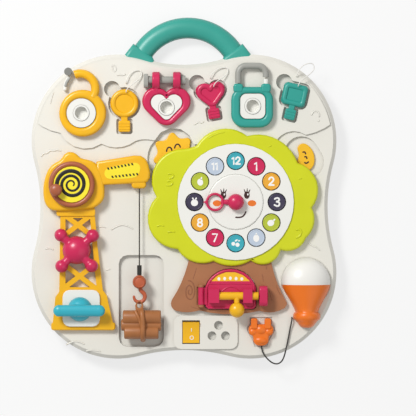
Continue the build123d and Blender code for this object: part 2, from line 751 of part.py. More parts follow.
def heart_lock_bar():
    right = heart_lock[0] + ear_offset + ear_width / 2 + 0.3
    left = heart_lock[0] - ear_offset - ear_width / 2 - bar_slack
    height = cloud_z + ear_height / 2
    form = rod((left - 1, bar_y, height), (right + 1, bar_y, height), bar_radius)
    form += rod((right, bar_y, height), (right + bar_knob_thick, bar_y, height), ear_height / 2 - 0.2)
    knob = Plane.YZ * cut_rectangle((bar_y - bar_knob_drop, height), *bar_knob_size, bar_radius)
    form += Pos(left - bar_knob_thick, 0, 0) * extrude(knob, bar_knob_thick)
    return form


def square_lock_body():
    outline = cut_rectangle(square_lock, *square_lock_size, square_lock_corner)
    body = bevelled(slab(outline, cloud_z, lock_top), lock_bevel)
    for middle in (shackle_left_x, shackle_right_x):
        body += block((middle - shoulder_width / 2, middle + shoulder_width / 2),
                      (shoulder_foot, shoulder_top), (cloud_z, lock_top + shoulder_rise))
    axis_z = cloud_z + lock_height / 2 + 1
    low, high = shoulder_top - pivot_depth, shoulder_top + 1
    body -= rod((shackle_left_x, low, axis_z), (shackle_left_x, high, axis_z),
                shackle_radius + running_gap)
    return lock_with_seat(body, cut_rectangle(square_plate, square_plate_size, square_plate_size,
                                              square_plate_corner), square_plate)


def square_lock_shackle():
    axis_z = cloud_z + lock_height / 2 + 1
    left, right = (shackle_left_x + shackle_bend, shackle_top_y - shackle_bend), shackle_right_x - shackle_bend
    bends = [polar(left, shackle_bend, 180 - step * 22.5) for step in range(5)]
    bends += [polar((right, left[1]), shackle_bend, 90 - step * 22.5) for step in range(5)]
    points = [(shackle_left_x, shoulder_top + 0.6), *bends, (shackle_right_x, shackle_right_end)]
    path = Polyline(*[(x, y, axis_z) for x, y in points])
    section = Plane(origin=path @ 0, z_dir=path % 0) * RegularPolygon(shackle_radius, 8, major_radius=False)
    form = sweep(section, path=path, transition=Transition.RIGHT)
    return form + rod((shackle_left_x, shoulder_top - pivot_depth + 0.4, axis_z),
                      (shackle_left_x, shoulder_top + 0.6, axis_z), shackle_radius)


def lock_faces():
    axis_z = cloud_z + lock_height / 2 + 1
    plates = [lock_plate(round_face(round_plate, round_plate_radius - 0.05), round_plate),
              lock_plate(heart(heart_lock, heart_plate_size - 0.05, slim_heart), heart_lock),
              lock_plate(cut_rectangle(square_plate, square_plate_size - 0.1, square_plate_size - 0.1,
                                       square_plate_corner), square_plate),
              rod((shackle_right_x, shoulder_top, axis_z), (shackle_right_x, post_top, axis_z),
                  shackle_radius - lamp_gap)]
    return Compound(children=[p.solid() for p in plates])


def key_solid(outline, place, tilt, recess):
    # a thick key: bow with a recess on top, and a ribbed bit
    form = slab(outline(), key_z, key_top)
    form -= slab(recess, key_top - bow_recess, key_top + 1)
    return Pos(place[0], place[1]) * Rot(0, 0, tilt) * form


def keys():
    square_recess = cut_rectangle((0, 0), square_bow_size[0] - 9.6, square_bow_size[1] - 9.6, 2.5)
    heart_recess = heart((0, 0.2), heart_bow_size - 6.4, slim_heart)
    return {"round_key": key_solid(round_key_face, round_key, round_key_tilt, round_face((0, 0), 9.5)),
            "heart_key": key_solid(heart_key_face, heart_key, heart_key_tilt, heart_recess),
            "square_key": key_solid(square_key_face, square_key, square_key_tilt, square_recess)}


# ================= crane =================

def cabin_face():
    return inside(cabin_outline)


def crane_cabin():
    outer = slab(cabin_face(), face_z, cabin_top)
    outer = bevelled(outer, 1.2)
    outer -= slab(offset(cabin_face(), -skin), face_z, cabin_top - skin)
    outer -= shaft(crank, shaft_radius + running_gap, face_z, cabin_top + 1)
    window = string_radius + 1.6
    entry_y = crank[1] + spool_radius + string_radius
    outer -= block((cabin_side - 12, cabin_side + 8), (entry_y - window, entry_y + window),
                   (string_z - window, string_z + window))
    return outer


def crane_boom():
    top = face_z + boom_height
    outer = bevelled(slab(inside(boom_points), face_z, top), boom_bevel)
    outer += bevelled(slab(cut_rectangle(nozzle[:2], *nozzle[2:]), face_z, top), boom_bevel)
    outer -= slab(cabin_face(), face_z, cabin_top)
    outer -= slab(inside(boom_hollow), face_z, top - skin)
    sign = cut_rectangle((0, 0), *sign_size, sign_corner)
    outer += slab(Pos(*sign_place) * Rot(0, 0, sign_tilt) * sign, top - 0.5, top + sign_proud)
    bore = string_radius + 0.4
    entry_y = crank[1] + spool_radius + string_radius
    outer -= rod((nozzle_x, nozzle[1] - nozzle[3], string_z), (nozzle_x, entry_y, string_z), bore)
    outer -= rod((cabin_side - 12, entry_y, string_z), (nozzle_x - 4, entry_y, string_z), bore + 1)
    return outer


def crank_wheel():
    low = cabin_top + 0.3
    wheel = bevelled(disc(crank, crank_radius, low, low + crank_thick, fine_sides), 1.6)
    wheel -= disc(crank, crank_face_radius + 0.05, low + crank_thick - crank_face_thick, low + crank_thick + 1)
    wheel += shaft(crank, shaft_radius, shaft_foot, low + 1)
    knob_low = low + crank_thick - crank_face_thick - 1
    knob_top = low + crank_thick + crank_knob_height
    knob = disc(crank_knob, crank_knob_radius - 1.6, knob_low, knob_top - 4)
    knob += bevelled(disc(crank_knob, crank_knob_radius, knob_top - 7, knob_top), 1.6)
    return wheel + knob


def crank_face():
    low = cabin_top + 0.3 + crank_thick - crank_face_thick
    face = disc(crank, crank_face_radius, low, low + crank_face_thick + 0.3)
    return face - disc(crank_knob, crank_knob_radius - 1.5, low - 1, low + 3)


def string_spool():
    low = string_z - spool_width / 2
    spool = disc(crank, spool_radius, low - 1, low + spool_width + 0.4)
    spool += disc(crank, spool_flange, low - 2, low - 1)
    return spool - shaft(crank, shaft_radius + 0.02, 0, cabin_top)


def crane_string():
    line_y = crank[1] + spool_radius + 0.05 + string_radius
    path = FilletPolyline((crank[0], line_y, string_z), (nozzle_x, line_y, string_z),
                          (nozzle_x, string_end_y, string_z), radius=bend_radius)
    section = Plane(origin=path @ 0, z_dir=path % 0) * RegularPolygon(string_radius, 6)
    return sweep(section, path=path)


def string_crimp():
    ball_top = hook_ball_y + hook_ball_radius
    return rod((nozzle_x, ball_top, string_z), (nozzle_x, string_end_y, string_z), crimp_radius)


def hook_block():
    ball = slab(Pos(nozzle_x, hook_ball_y) * RegularPolygon(hook_ball_radius, round_sides),
                string_z - hook_ball_radius, string_z + hook_ball_radius)
    rims = ball.faces().sort_by(Axis.Z)[0].edges() + ball.faces().sort_by(Axis.Z)[-1].edges()
    ball = chamfer(rims, 2.2)
    centre_y = hook_ball_y - hook_ball_radius - hook_bend - 2.6
    start = polar((nozzle_x, centre_y), hook_bend, 58)
    bottom = (nozzle_x, centre_y - hook_bend)
    tip = polar((nozzle_x, centre_y), hook_bend, 175)
    bend = ThreePointArc((*start, string_z), (*bottom, string_z), (*tip, string_z))
    path = Polyline((nozzle_x, hook_ball_y - 5, string_z), *[bend @ (step / 8) for step in range(9)])
    section = Plane(origin=path @ 0, z_dir=path % 0) * RegularPolygon(hook_rod, 8)
    return ball + sweep(section, path=path, transition=Transition.RIGHT)


def hook_bottom_y():
    return hook_ball_y - hook_ball_radius - 2 * hook_bend - 2.6


def log_section(extra=0.0):
    # three logs side by side, moulded as one
    heights = [face_z + 0.6 + log_radii[0], face_z + 0.6 + log_radii[1], face_z + 0.6 + log_radii[2]]
    face = None
    for y, z, r in zip(log_y, heights, log_radii):
        log = Plane.YZ * Pos(y, z) * RegularPolygon(r + extra, small_sides)
        face = log if face is None else face + log
    return face


def log_bundle():
    form = Pos(log_x[0], 0, 0) * extrude(log_section(), log_x[1] - log_x[0])
    strap = Pos(nozzle_x - strap_width / 2, 0, 0) * extrude(log_section(strap_thick), strap_width)
    strap &= block((-200, 200), (-300, 0), (face_z + 0.3, 100))
    form += strap
    eye_y = hook_bottom_y() + hook_rod - eye_inner + eye_slack
    rim = RegularPolygon(eye_inner + eye_thick, small_sides)
    eye = Plane.YZ * Pos(eye_y, string_z) * (rim - Circle(eye_inner))
    form += Pos(nozzle_x - eye_thick / 2, 0, 0) * extrude(eye, eye_thick)
    return form


def crane_tower():
    top_z = face_z + tower_thick
    face = inside(tower_points)
    window = inside(tower_window)
    for x, y in tower_crossings:
        for side in (-1, 1):
            reach = (side * brace_reach[0], brace_reach[1])
            window -= bar((x - reach[0], y - reach[1]), (x + reach[0], y + reach[1]), brace_width)
    window -= round_face(four_arm, four_arm_hub)
    face -= window
    form = slab(face, face_z, top_z)
    form += bevelled(slab(cut_rectangle(foot_centre, *foot_size, 2.4), face_z, top_z), 1)
    form += slab(cut_rectangle(collar_centre, *collar_size, 2) - cabin_face(), face_z, top_z + 1.5)
    for place in (four_arm, wing):
        form -= shaft(place, shaft_radius + running_gap, face_z, top_z + 3)
    return form - slab(cabin_face(), face_z, top_z + 3)


def wing_plate():
    low = face_z + tower_thick
    plate = slab(cut_rectangle(wing_plate_place, *wing_plate_size, 7.5), low, low + wing_plate_thick)
    return plate - shaft(wing, shaft_radius + running_gap, face_z, low + 5)


def four_arm_knob():
    low = face_z + tower_thick + 0.4
    form = disc(four_arm, four_arm_hub, low, low + four_arm_rise * 0.5)
    form += cone(four_arm, four_arm_hub, four_arm_hub * 0.6, low + four_arm_rise * 0.5, low + four_arm_rise)
    for angle in four_arm_angles:
        place = polar(four_arm, four_arm_reach, angle)
        form += slab(bar(four_arm, place, four_arm_width), low + 1, low + 8)
        form += bevelled(disc(place, four_arm_lobe, low, low + 10.5, small_sides), 2.4)
    return form + shaft(four_arm, shaft_radius, shaft_foot, low)


def wing_knob():
    low = face_z + tower_thick + wing_plate_thick + 0.4
    bar_low = low + wing_hub_rise - 2
    form = cut_rectangle(wing, wing_length, wing_width, wing_width / 2 - 0.7)
    form = bevelled(slab(form, bar_low, bar_low + wing_thick), 2.0)
    form += bevelled(disc(wing, wing_hub, low, low + wing_hub_rise), 2.4)
    return form + shaft(wing, shaft_radius, shaft_foot, low)


# ================= clock in the tree =================

def crown_face():
    # grows with the dial's seat
    grow = dial_seat_radius / crown_seat
    spans = [tuple((dial[0] + (x - dial[0]) * grow, dial[1] + (y - dial[1]) * grow) for x, y in span)
             for span in crown_points]
    return inside([*arc_chain(spans, spans[0][0])[:-1]])


def tree_crown():
    form = bevelled(slab(crown_face(), face_z, crown_z), 1.6)
    return form - disc(dial, dial_seat_radius + 0.6, face_z, crown_z + 1, fine_sides)


def flip_places():
    return [polar(dial, dial_ring_radius, 90 - 30 * hour) for hour in range(1, 13)]


def dial_ring():
    ring = disc(dial, dial_seat_radius, dial_low, dial_top, fine_sides)
    ring += disc(dial, dial_radius, dial_top - lip_thick, dial_top, fine_sides)
    ring -= disc(dial, dial_hub_radius - 4, dial_low, dial_top)
    ring -= disc(dial, dial_centre_radius + 0.1, dial_low + 2.5, dial_top)
    middle = (dial_low + dial_top) / 2
    for place in flip_places():
        ring -= slab(Pos(*place) * RegularPolygon(flip_hole, flip_sides), dial_low, dial_top)
        slot = pivot_radius + 0.1
        reach = flip_radius + pivot_length + 0.4
        ring -= block((place[0] - slot, place[0] + slot), (place[1] - reach, place[1] + reach),
                      (dial_low, middle + slot))
    return ring


def dial_centre():
    form = bevelled(disc(dial, dial_centre_radius, dial_low + 2.5, dial_top + 1.2), 1.0)
    form += disc(dial, dial_hub_radius - 4.1, dial_low, dial_low + 2.5)
    return form - shaft(dial, hand_shaft + running_gap, dial_low, dial_top + 2)


def flip_disc(place):
    middle = (dial_low + dial_top) / 2
    base = Pos(place[0], place[1])
    form = slab(base * RegularPolygon(flip_radius, flip_sides), middle - flip_thick / 2, middle + flip_thick / 2)
    for side in (-1, 1):
        root = Plane(origin=(place[0], place[1] + side * (flip_radius - 0.4), middle), z_dir=(0, side, 0))
        form += extrude(root * RegularPolygon(pivot_radius, pivot_sides), pivot_length + 0.4)
    return form


def clock_hand():
    low = dial_top + 1.2 + 0.3
    ring = (dial[0] + hand_ring[0], dial[1])
    form = slab(round_face(ring, hand_ring[1]) + bar(dial, ring, 6)
                + Pos(dial[0], dial[1]) * inside([(hand_tip, 0), (hand_ring[0], 7.4), (hand_ring[0], -7.4)])
                - round_face(ring, hand_ring[2]), low, low + hand_thick)
    form += bevelled(disc(dial, hand_ball_radius, low, low + hand_ball_rise), 2.4)
    return form + shaft(dial, hand_shaft, dial_low - 5.6, low)


def sun_face():
    # blunt rays, each with the same row of points round its tip
    points = []
    for index in range(sun_rays):
        tip = sun_first_ray + 360 / sun_rays * index
        points += [polar(sun, sun_reach * share, tip + turn) for turn, share in sun_ray]
    return inside(points)


def sun_and_moon():
    ring = round_face(dial, rocker_ring[1], fine_sides) - round_face(dial, rocker_ring[0], fine_sides)
    face = ring + sun_face() + inside(moon_outline)
    for place, reach in ((sun, 0.86), (moon, 0.93)):
        middle = Vector(*place) - Vector(*dial)
        start = Vector(*dial) + middle.normalized() * (rocker_ring[0] + 2)
        end = Vector(*dial) + middle * reach
        face += bar((start.X, start.Y), (end.X, end.Y), 12)
    return slab(face, rocker_low, rocker_low + rocker_thick)


# ================= trunk and latch door =================

def trunk_face():
    return inside([*arc_chain(trunk_points, trunk_end)]) - crown_face()


def trunk():
    form = slab(trunk_face(), face_z, trunk_z)
    form -= slab(door_outline(door_gap), face_z, trunk_z + 1)
    form -= slab(bar((hinge_x, hinge_y[0] + 0.3), (hinge_x, hinge_y[1] - 0.3), 9), trunk_z - 1.2, trunk_z + 1)
    for low, high in ((hinge_y[0] + lamp_gap, hinge_y[0] + lamp_gap + ear_length),
                      (hinge_y[1] - lamp_gap - ear_length, hinge_y[1] - lamp_gap)):
        ear = block((hinge_x - knuckle_radius, hinge_x + knuckle_radius), (low, high), (trunk_z - 1, hinge_z))
        ear += rod((hinge_x, low, hinge_z), (hinge_x, high, hinge_z), knuckle_radius)
        form += ear
    pin_bore = rod((hinge_x, hinge_y[1] - 6, hinge_z), (hinge_x, hinge_y[0] + 6, hinge_z), hinge_pin + running_gap)
    return form - pin_bore


def latch_brackets():
    # the keeper beside the door, which the bolt shoots into
    low, high = door_x[1] + keeper_gap, door_x[1] + keeper_gap + keeper_length
    outline = cut_rectangle(((low + high) / 2, bolt_y), keeper_length, keeper_width, keeper_corner)
    form = slab(outline, trunk_z, guide_top - 1)
    return form - rod((low - 1, bolt_y, bolt_z), (high - 2, bolt_y, bolt_z), bolt_radius + lamp_gap)


def latch_door():
    low, high = door_z
    form = bevelled(slab(door_outline(), low, high), 0.8)
    window_middle = (door_window[0] + door_window[1]) / 2
    window = arc_chain([((door_window[0], door_window[2]), (window_middle, door_window[3]))],
                       (door_window[1], door_window[2]))
    form -= slab(inside(window), high - 1.0, high + 1)
    for span in guide_spans:
        form += block(span, (bolt_y - guide_width / 2, bolt_y + guide_width / 2), (high - 1, guide_top))
    form -= rod((guide_spans[0][0] - 1, bolt_y, bolt_z), (guide_spans[1][1] + 1, bolt_y, bolt_z),
                bolt_radius + running_gap)
    form += rod((hinge_x, hinge_y[1], hinge_z), (hinge_x, hinge_y[0], hinge_z), knuckle_radius)
    form += block((hinge_x, door_x[0] + 2), (hinge_y[1], hinge_y[0]), (high - 1.6, high + 1.2))
    return form + rod((hinge_x, hinge_y[1] - ear_length - 0.2, hinge_z),
                      (hinge_x, hinge_y[0] + ear_length + 0.2, hinge_z), hinge_pin)


def slide_bolt():
    form = rod((bolt_start, bolt_y, bolt_z), (door_x[1] + keeper_gap - bolt_short, bolt_y, bolt_z), bolt_radius)
    form += rod((stem_x, bolt_y, bolt_z), (*bolt_knob, (bolt_knob_z[0] + bolt_knob_z[1]) / 2), stem_radius)
    knob = disc(bolt_knob, bolt_knob_radius, *bolt_knob_z)
    rims = knob.faces().sort_by(Axis.Z)[0].edges() + knob.faces().sort_by(Axis.Z)[-1].edges()
    return form + chamfer(rims, 2.6)


# ================= switch, plug and lamp =================

def switch_rocker():
    # a shallow V on top, tilted to one side at rest
    half = switch_size[1] / 2 - 0.4
    points = [(-half, 0.4), (-half, switch_rise), (0, switch_rise - 2.2), (half, switch_rise), (half, 0.4),
              (4, -switch_rise), (-4, -switch_rise)]
    profile = Plane.YZ * inside(points)
    form = Pos(-switch_size[0] / 2, 0, 0) * extrude(profile, switch_size[0], dir=(1, 0, 0))
    form += rod((-switch_size[0] / 2 - pivot_reach, 0, 0), (switch_size[0] / 2 + pivot_reach, 0, 0), pivot_radius)
    return Pos(switch[0], switch[1], switch_pivot_z) * Rot(switch_tilt, 0, 0) * form


def plug():
    form = bevelled(slab(plug_face(), plug_z, plug_z + plug_thick), 2.0)
    middle = plug_z + plug_thick / 2
    for side in (-1, 1):
        x = plug_x + side * prong_offset
        form += rod((x, prong_root, middle + prong_lift), (x, prong_top, middle + prong_lift), prong_radius)
    return form


def lamp_dome():
    # the round body of the lamp, in steps
    form = None
    for (share, step), (next_share, next_step) in zip(globe_steps, globe_steps[1:]):
        layer = cone(lamp, globe_radius * share, globe_radius * next_share, face_z + globe_rise * step,
                     face_z + globe_rise * next_step, fine_sides)
        form = layer if form is None else form + layer
    return form


def lamp_globe():
    return lamp_dome() & block((0, 200), (globe_split, 0), (0, 100))


def lamp_stem_face(shrink):
    right = [(lamp_axis_x + x - shrink, y) for x, y in lamp_half]
    left = [(2 * lamp_axis_x - x, y) for x, y in reversed(right)]
    return inside([*right, *left])


def lamp_base():
    edge, top = face_z + lamp_base_rise - lamp_bevel, face_z + lamp_base_rise
    form = slab(lamp_stem_face(0), face_z, edge)
    form += loft([Pos(0, 0, edge) * lamp_stem_face(0), Pos(0, 0, top) * lamp_stem_face(lamp_bevel)], ruled=True)
    form += lamp_dome() & block((0, 200), (lamp_half[1][1], globe_split), (0, 100))
    half, high, low = lamp_collar
    collar = cut_rectangle((lamp_axis_x, (high + low) / 2), 2 * half, high - low, (high - low) / 2 - 0.8)
    form += bevelled(slab(collar, face_z, face_z + lamp_base_rise + 1), lamp_bevel / 2)
    half, end = lamp_tip
    tip = inside([(lamp_axis_x - half, low + 2), (lamp_axis_x - half + 4, end), (lamp_axis_x + half - 4, end),
                  (lamp_axis_x + half, low + 2)])
    return form + slab(tip, face_z, face_z + lamp_base_rise - 3)


nodes = {
    "front_shell": front_shell(), "back_cover": back_cover(), "cover_screws": cover_screws(),
    "handle": handle(), "lock_faces": lock_faces(),
    "round_lock_body": round_lock_body(), "round_lock_gate": round_lock_gate(),
    "round_lock_collar": round_lock_collar(), "round_lock_core": lock_core(round_plate),
    "heart_lock_body": heart_lock_body(), "heart_lock_bar": heart_lock_bar(),
    "heart_lock_core": lock_core(heart_lock),
    "square_lock_body": square_lock_body(), "square_lock_shackle": square_lock_shackle(),
    "square_lock_core": lock_core(square_plate),
    "round_key_loop": cord_solid(round_tether, tether_radius, 4),
    "heart_key_loop": cord_solid(heart_tether, tether_radius, 4),
    "square_key_loop": cord_solid(square_tether, tether_radius, 4),
    "crane_cabin": crane_cabin(), "crane_boom": crane_boom(), "crank_wheel": crank_wheel(),
    "crank_face": crank_face(), "string_spool": string_spool(), "crane_string": crane_string(),
    "string_crimp": string_crimp(), "hook_block": hook_block(), "log_bundle": log_bundle(),
    "crane_tower": crane_tower(), "four_arm_knob": four_arm_knob(), "wing_plate": wing_plate(),
    "wing_knob": wing_knob(), "tree_crown": tree_crown(), "dial_ring": dial_ring(),
    "dial_centre": dial_centre(), "clock_hand": clock_hand(), "sun_and_moon": sun_and_moon(),
    "trunk": trunk(), "latch_door": latch_door(), "slide_bolt": slide_bolt(),
    "latch_brackets": latch_brackets(), "switch_rocker": switch_rocker(), "plug": plug(),
    "plug_cord": cord_solid(plug_cord, plug_cord_radius), "lamp_globe": lamp_globe(),
    "lamp_base": lamp_base(),
}
nodes.update(keys())
for number, spot in enumerate(flip_places(), start=1):
    nodes[f"number_disc_{number:02d}"] = flip_disc(spot)

for name, shape in nodes.items():
    export_step(shape, f"parts/{name}.step")
print(len(nodes), "nodes")
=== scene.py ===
import json
from math import acos, atan2, cos, degrees, pi, radians, sin, sqrt

import bpy
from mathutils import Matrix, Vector


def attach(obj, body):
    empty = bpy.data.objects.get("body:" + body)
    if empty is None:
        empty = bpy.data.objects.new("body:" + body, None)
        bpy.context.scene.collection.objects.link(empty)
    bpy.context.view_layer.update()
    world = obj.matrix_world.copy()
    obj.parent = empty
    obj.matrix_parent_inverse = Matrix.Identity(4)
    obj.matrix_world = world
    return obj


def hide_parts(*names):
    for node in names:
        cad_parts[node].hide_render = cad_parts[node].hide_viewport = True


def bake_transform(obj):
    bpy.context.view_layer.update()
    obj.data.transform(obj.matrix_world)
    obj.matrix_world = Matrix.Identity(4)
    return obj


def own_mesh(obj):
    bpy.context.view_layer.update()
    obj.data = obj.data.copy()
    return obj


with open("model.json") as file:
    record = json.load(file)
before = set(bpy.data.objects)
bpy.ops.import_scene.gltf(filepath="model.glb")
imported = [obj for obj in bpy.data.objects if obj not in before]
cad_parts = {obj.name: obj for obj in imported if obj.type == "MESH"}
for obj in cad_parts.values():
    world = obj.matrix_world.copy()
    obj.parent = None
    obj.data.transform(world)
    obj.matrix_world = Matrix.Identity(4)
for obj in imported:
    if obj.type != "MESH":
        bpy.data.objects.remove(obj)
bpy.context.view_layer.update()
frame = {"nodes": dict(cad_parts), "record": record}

mm = 0.001
faceZ, cloudZ = 22.0, 24.0          # tops of the play face and of the raised cloud
layout = {"step": 1.052, "middle": (184, 188.5)}    # one layout step in mm, and the board's middle in steps
scene = bpy.context.scene


# small tools

def clearSelection():
    if bpy.context.object and bpy.context.object.mode != "OBJECT":
        bpy.ops.object.mode_set(mode="OBJECT")
    bpy.ops.object.select_all(action="DESELECT")


def pick(piece):
    clearSelection()
    piece.select_set(True)
    bpy.context.view_layer.objects.active = piece
    return piece


def addPiece(name, data):
    piece = bpy.data.objects.new(name, data)
    scene.collection.objects.link(piece)
    return pick(piece)


def meshed(piece):
    pick(piece)
    bpy.ops.object.convert(target="MESH")
    return bpy.context.object


def startEdit(piece):
    pick(piece)
    bpy.ops.object.mode_set(mode="EDIT")
    bpy.ops.mesh.select_all(action="SELECT")


def endEdit():
    bpy.ops.object.mode_set(mode="OBJECT")


def turnOutward(weld):
    # double corners are welded and the faces look outward
    bpy.ops.mesh.select_all(action="SELECT")
    bpy.ops.mesh.remove_doubles(threshold=weld)
    bpy.ops.mesh.normals_make_consistent(inside=False)
    endEdit()


def applyAll(piece):
    # modifiers and place go into the mesh
    pick(piece)
    for modifier in list(piece.modifiers):
        bpy.ops.object.modifier_apply(modifier=modifier.name)
    bpy.ops.object.transform_apply(location=True, rotation=True, scale=True)
    return piece


def smoothShade(piece, angle=40):
    pick(piece)
    bpy.ops.object.shade_smooth_by_angle(angle=radians(angle))
    return piece


def evenFaces(piece):
    # large faces shade flat right up to their soft edges
    piece.modifiers.new("even", "WEIGHTED_NORMAL").keep_sharp = True
    return applyAll(piece)


def rounded(piece, width, angle=30):
    modifier = piece.modifiers.new("rounding", "BEVEL")
    modifier.width = width * mm
    modifier.segments = 3
    modifier.limit_method = "ANGLE"
    modifier.angle_limit = radians(angle)
    return piece


def dress(piece, name, body, material):
    # the piece gets its name, finish and body
    piece.name = name
    piece.data.name = name
    piece.data.materials.clear()
    piece.data.materials.append(material)
    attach(piece, body)
    return piece


def joined(pieces):
    clearSelection()
    for piece in pieces:
        piece.select_set(True)
    bpy.context.view_layer.objects.active = pieces[0]
    if len(pieces) > 1:
        bpy.ops.object.join()
    return bpy.context.view_layer.objects.active


# finishes

def addNode(nodes, kind, values=None):
    # a shader node with its inputs set
    node = nodes.new("ShaderNode" + kind)
    for label, value in (values or {}).items():
        node.inputs[label].default_value = value
    return node


def plastic(name, look):
    # moulded plastic: a cloudy shift of tone, painted shade on steep faces, uneven sheen and a fine moulded grain
    material = bpy.data.materials.new(name)
    material.use_nodes = True
    nodes, link = material.node_tree.nodes, material.node_tree.links.new
    shader = nodes["Principled BSDF"]
    origin = addNode(nodes, "TexCoord")

    def noise(scale, detail):
        node = addNode(nodes, "TexNoise", {"Scale": scale, "Detail": detail})
        link(origin.outputs["Object"], node.inputs["Vector"])
        return node.outputs["Fac"]

    tone = addNode(nodes, "ValToRGB")
    shift = look.get("shift", 0.035)
    for end, at, strength in zip(tone.color_ramp.elements, (0.3, 0.7), (1 - shift, 1 + shift)):
        end.position = at
        end.color = [min(1, c * strength) for c in look["colour"]] + [1]
    link(noise(look.get("cloudScale", 22), 3), tone.inputs["Fac"])

    # painted shade: steep faces and moulded edges get a darker base colour, by how far their normal leans from
    # straight up
    lie = addNode(nodes, "SeparateXYZ")
    link(origin.outputs["Normal"], lie.inputs["Vector"])
    paintedEdgeShade = addNode(nodes, "MapRange", {"From Min": 0.1, "From Max": 0.8,
                                        "To Min": look.get("edge", 0.8), "To Max": 1})
    link(lie.outputs["Z"], paintedEdgeShade.inputs["Value"])
    shaded = addNode(nodes, "VectorMath")
    shaded.operation = "SCALE"
    link(tone.outputs["Color"], shaded.inputs[0])
    link(paintedEdgeShade.outputs["Result"], shaded.inputs["Scale"])
    link(shaded.outputs["Vector"], shader.inputs["Base Color"])

    sheen = addNode(nodes, "MapRange", {"To Min": look["rough"] - 0.05, "To Max": look["rough"] + 0.07})
    link(noise(90, 5), sheen.inputs["Value"])
    link(sheen.outputs["Result"], shader.inputs["Roughness"])

    bump = addNode(nodes, "Bump", {"Strength": look.get("grain", 0.06), "Distance": 0.0004})
    link(noise(900, 2), bump.inputs["Height"])
    link(bump.outputs["Normal"], shader.inputs["Normal"])
    shader.inputs["Coat Weight"].default_value = look.get("coat", 0.12)
    shader.inputs["Coat Roughness"].default_value = 0.25
    shader.inputs["Metallic"].default_value = look.get("metal", 0.0)
    return material


def linear(code):
    # a colour code as the light values that the shader wants
    parts = [int(code[i:i + 2], 16) / 255 for i in (0, 2, 4)]
    return [c / 12.92 if c <= 0.04045 else ((c + 0.055) / 1.055) ** 2.4 for c in parts]


finishes = {
    # name: colour code, roughness and what else differs; edge is how dark the painted shade on steep faces gets
    "shell": ("EDEAE0", 0.42, {"shift": 0.015, "grain": 0.05, "edge": 0.36}),
    "cover": ("E6E2D8", 0.6, {"shift": 0.02, "grain": 0.25}), "insert": ("F2F1EA", 0.36, {"shift": 0.012}),
    "handle": ("35A293", 0.4, {"shift": 0.04}), "yellow": ("F9BC16", 0.3), "sunYellow": ("FDC322", 0.36),
    "magenta": ("D22458", 0.3), "teal": ("2FA396", 0.34), "grey": ("A3A39C", 0.38), "collarGrey": ("84847E", 0.4),
    "tether": ("F3F1EA", 0.7, {"grain": 0.3, "coat": 0.0}), "string": ("3A362E", 0.7, {"grain": 0.4, "coat": 0.0}),
    "crimp": ("2A2824", 0.45), "wheelBrown": ("AE5F3D", 0.36, {"shift": 0.06}), "spool": ("EFEDE6", 0.5),
    "hookBrown": ("C2603C", 0.36, {"shift": 0.06}), "logBrown": ("AC6D3C", 0.42, {"shift": 0.1, "cloudScale": 60}),
    "cyan": ("35B4C6", 0.33), "lime": ("D6DB10", 0.36, {"shift": 0.03}), "dial": ("F4F3EC", 0.34, {"shift": 0.01}),
    "trunk": ("AC714A", 0.45, {"shift": 0.07, "cloudScale": 40}), "discTeal": ("3DAEBC", 0.34),
    "amber": ("F0AE35", 0.34), "navy": ("403A52", 0.34), "discLime": ("BCC83A", 0.34), "paleBlue": ("C3D0E0", 0.34),
    "orange": ("F77A1A", 0.34), "lead": ("34322E", 0.5, {"coat": 0.05}), "globe": ("F6F4EE", 0.3, {"shift": 0.01}),
    "screw": ("A9A9A6", 0.35, {"metal": 0.9, "coat": 0.0}), "barkDark": ("9A6242", 0.5),
    "inkDark": ("3B1B16", 0.5, {"coat": 0.0}), "inkBlack": ("17120E", 0.45, {"coat": 0.0}),
    "inkYellow": ("FFE92E", 0.4, {"coat": 0.05}), "inkOrange": ("EE7A22", 0.5, {"coat": 0.0}),
    "inkWhite": ("FBFAF6", 0.4, {"coat": 0.0}),
}
paint = {}
for finishName, (code, rough, *extra) in finishes.items():
    look = {"colour": linear(code), "rough": rough}
    for difference in extra:
        look.update(difference)
    paint[finishName] = plastic(finishName, look)
print("finishes:", len(paint))


# the moulded pieces, their edges rounded

discPaint = {12: "discTeal", 6: "discTeal", 1: "magenta", 7: "magenta", 2: "amber", 8: "amber",
             3: "navy", 9: "navy", 4: "discLime", 10: "discLime", 5: "paleBlue", 11: "paleBlue"}
mouldings = {
    # node: finish, rounding in millimetres
    "front_shell": ("shell", 0.7), "back_cover": ("cover", 0.6), "round_lock_collar": ("collarGrey", 0.5),
    "heart_lock_bar": ("grey", 0.8), "round_lock_core": ("insert", 0.4), "heart_lock_core": ("insert", 0.4),
    "square_lock_core": ("insert", 0.4), "crank_face": ("inkYellow", 0.3), "string_spool": ("spool", 0.3),
    "string_crimp": ("crimp", 0.4), "crane_tower": ("yellow", 1.1), "wing_plate": ("insert", 0.8),
    "dial_ring": ("dial", 0.3), "dial_centre": ("dial", 0.6), "trunk": ("trunk", 0.8),
    "latch_door": ("magenta", 1.1), "switch_rocker": ("yellow", 0.6),
}
nodeBody = {node: body for body, members in frame["record"]["behaviour"]["bodies"].items() for node in members}


def softCopy(node, finish, rounding):
    # the moulding again as one clean skin, with the soft edges of the real one
    piece = addPiece(node + "_skin", frame["nodes"][node].data.copy())
    startEdit(piece)
    bpy.ops.mesh.remove_doubles(threshold=0.00001)
    bpy.ops.mesh.customdata_custom_splitnormals_clear()
    bpy.ops.mesh.dissolve_limited(angle_limit=radians(1.0))
    endEdit()
    rounded(piece, rounding)
    applyAll(piece)
    evenFaces(smoothShade(piece, 38))
    dress(piece, node + "_skin", nodeBody[node], paint[finish])
    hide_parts(node)
    return piece


for node, (finish, rounding) in mouldings.items():
    softCopy(node, finish, rounding)
for hour in range(1, 13):
    softCopy(f"number_disc_{hour:02d}", discPaint[hour], 0.5)
screws = frame["nodes"]["cover_screws"].data.materials
screws.clear()
screws.append(paint["screw"])
print("mouldings:", len(mouldings) + len(discPaint))


# shapes of the smooth pieces, in millimetres

def spot(across, down):
    # a place on the play face from its column and row in the layout
    return ((across - layout["middle"][0]) * layout["step"], (layout["middle"][1] - down) * layout["step"])


def spots(*places):
    return [spot(across, down) for across, down in places]


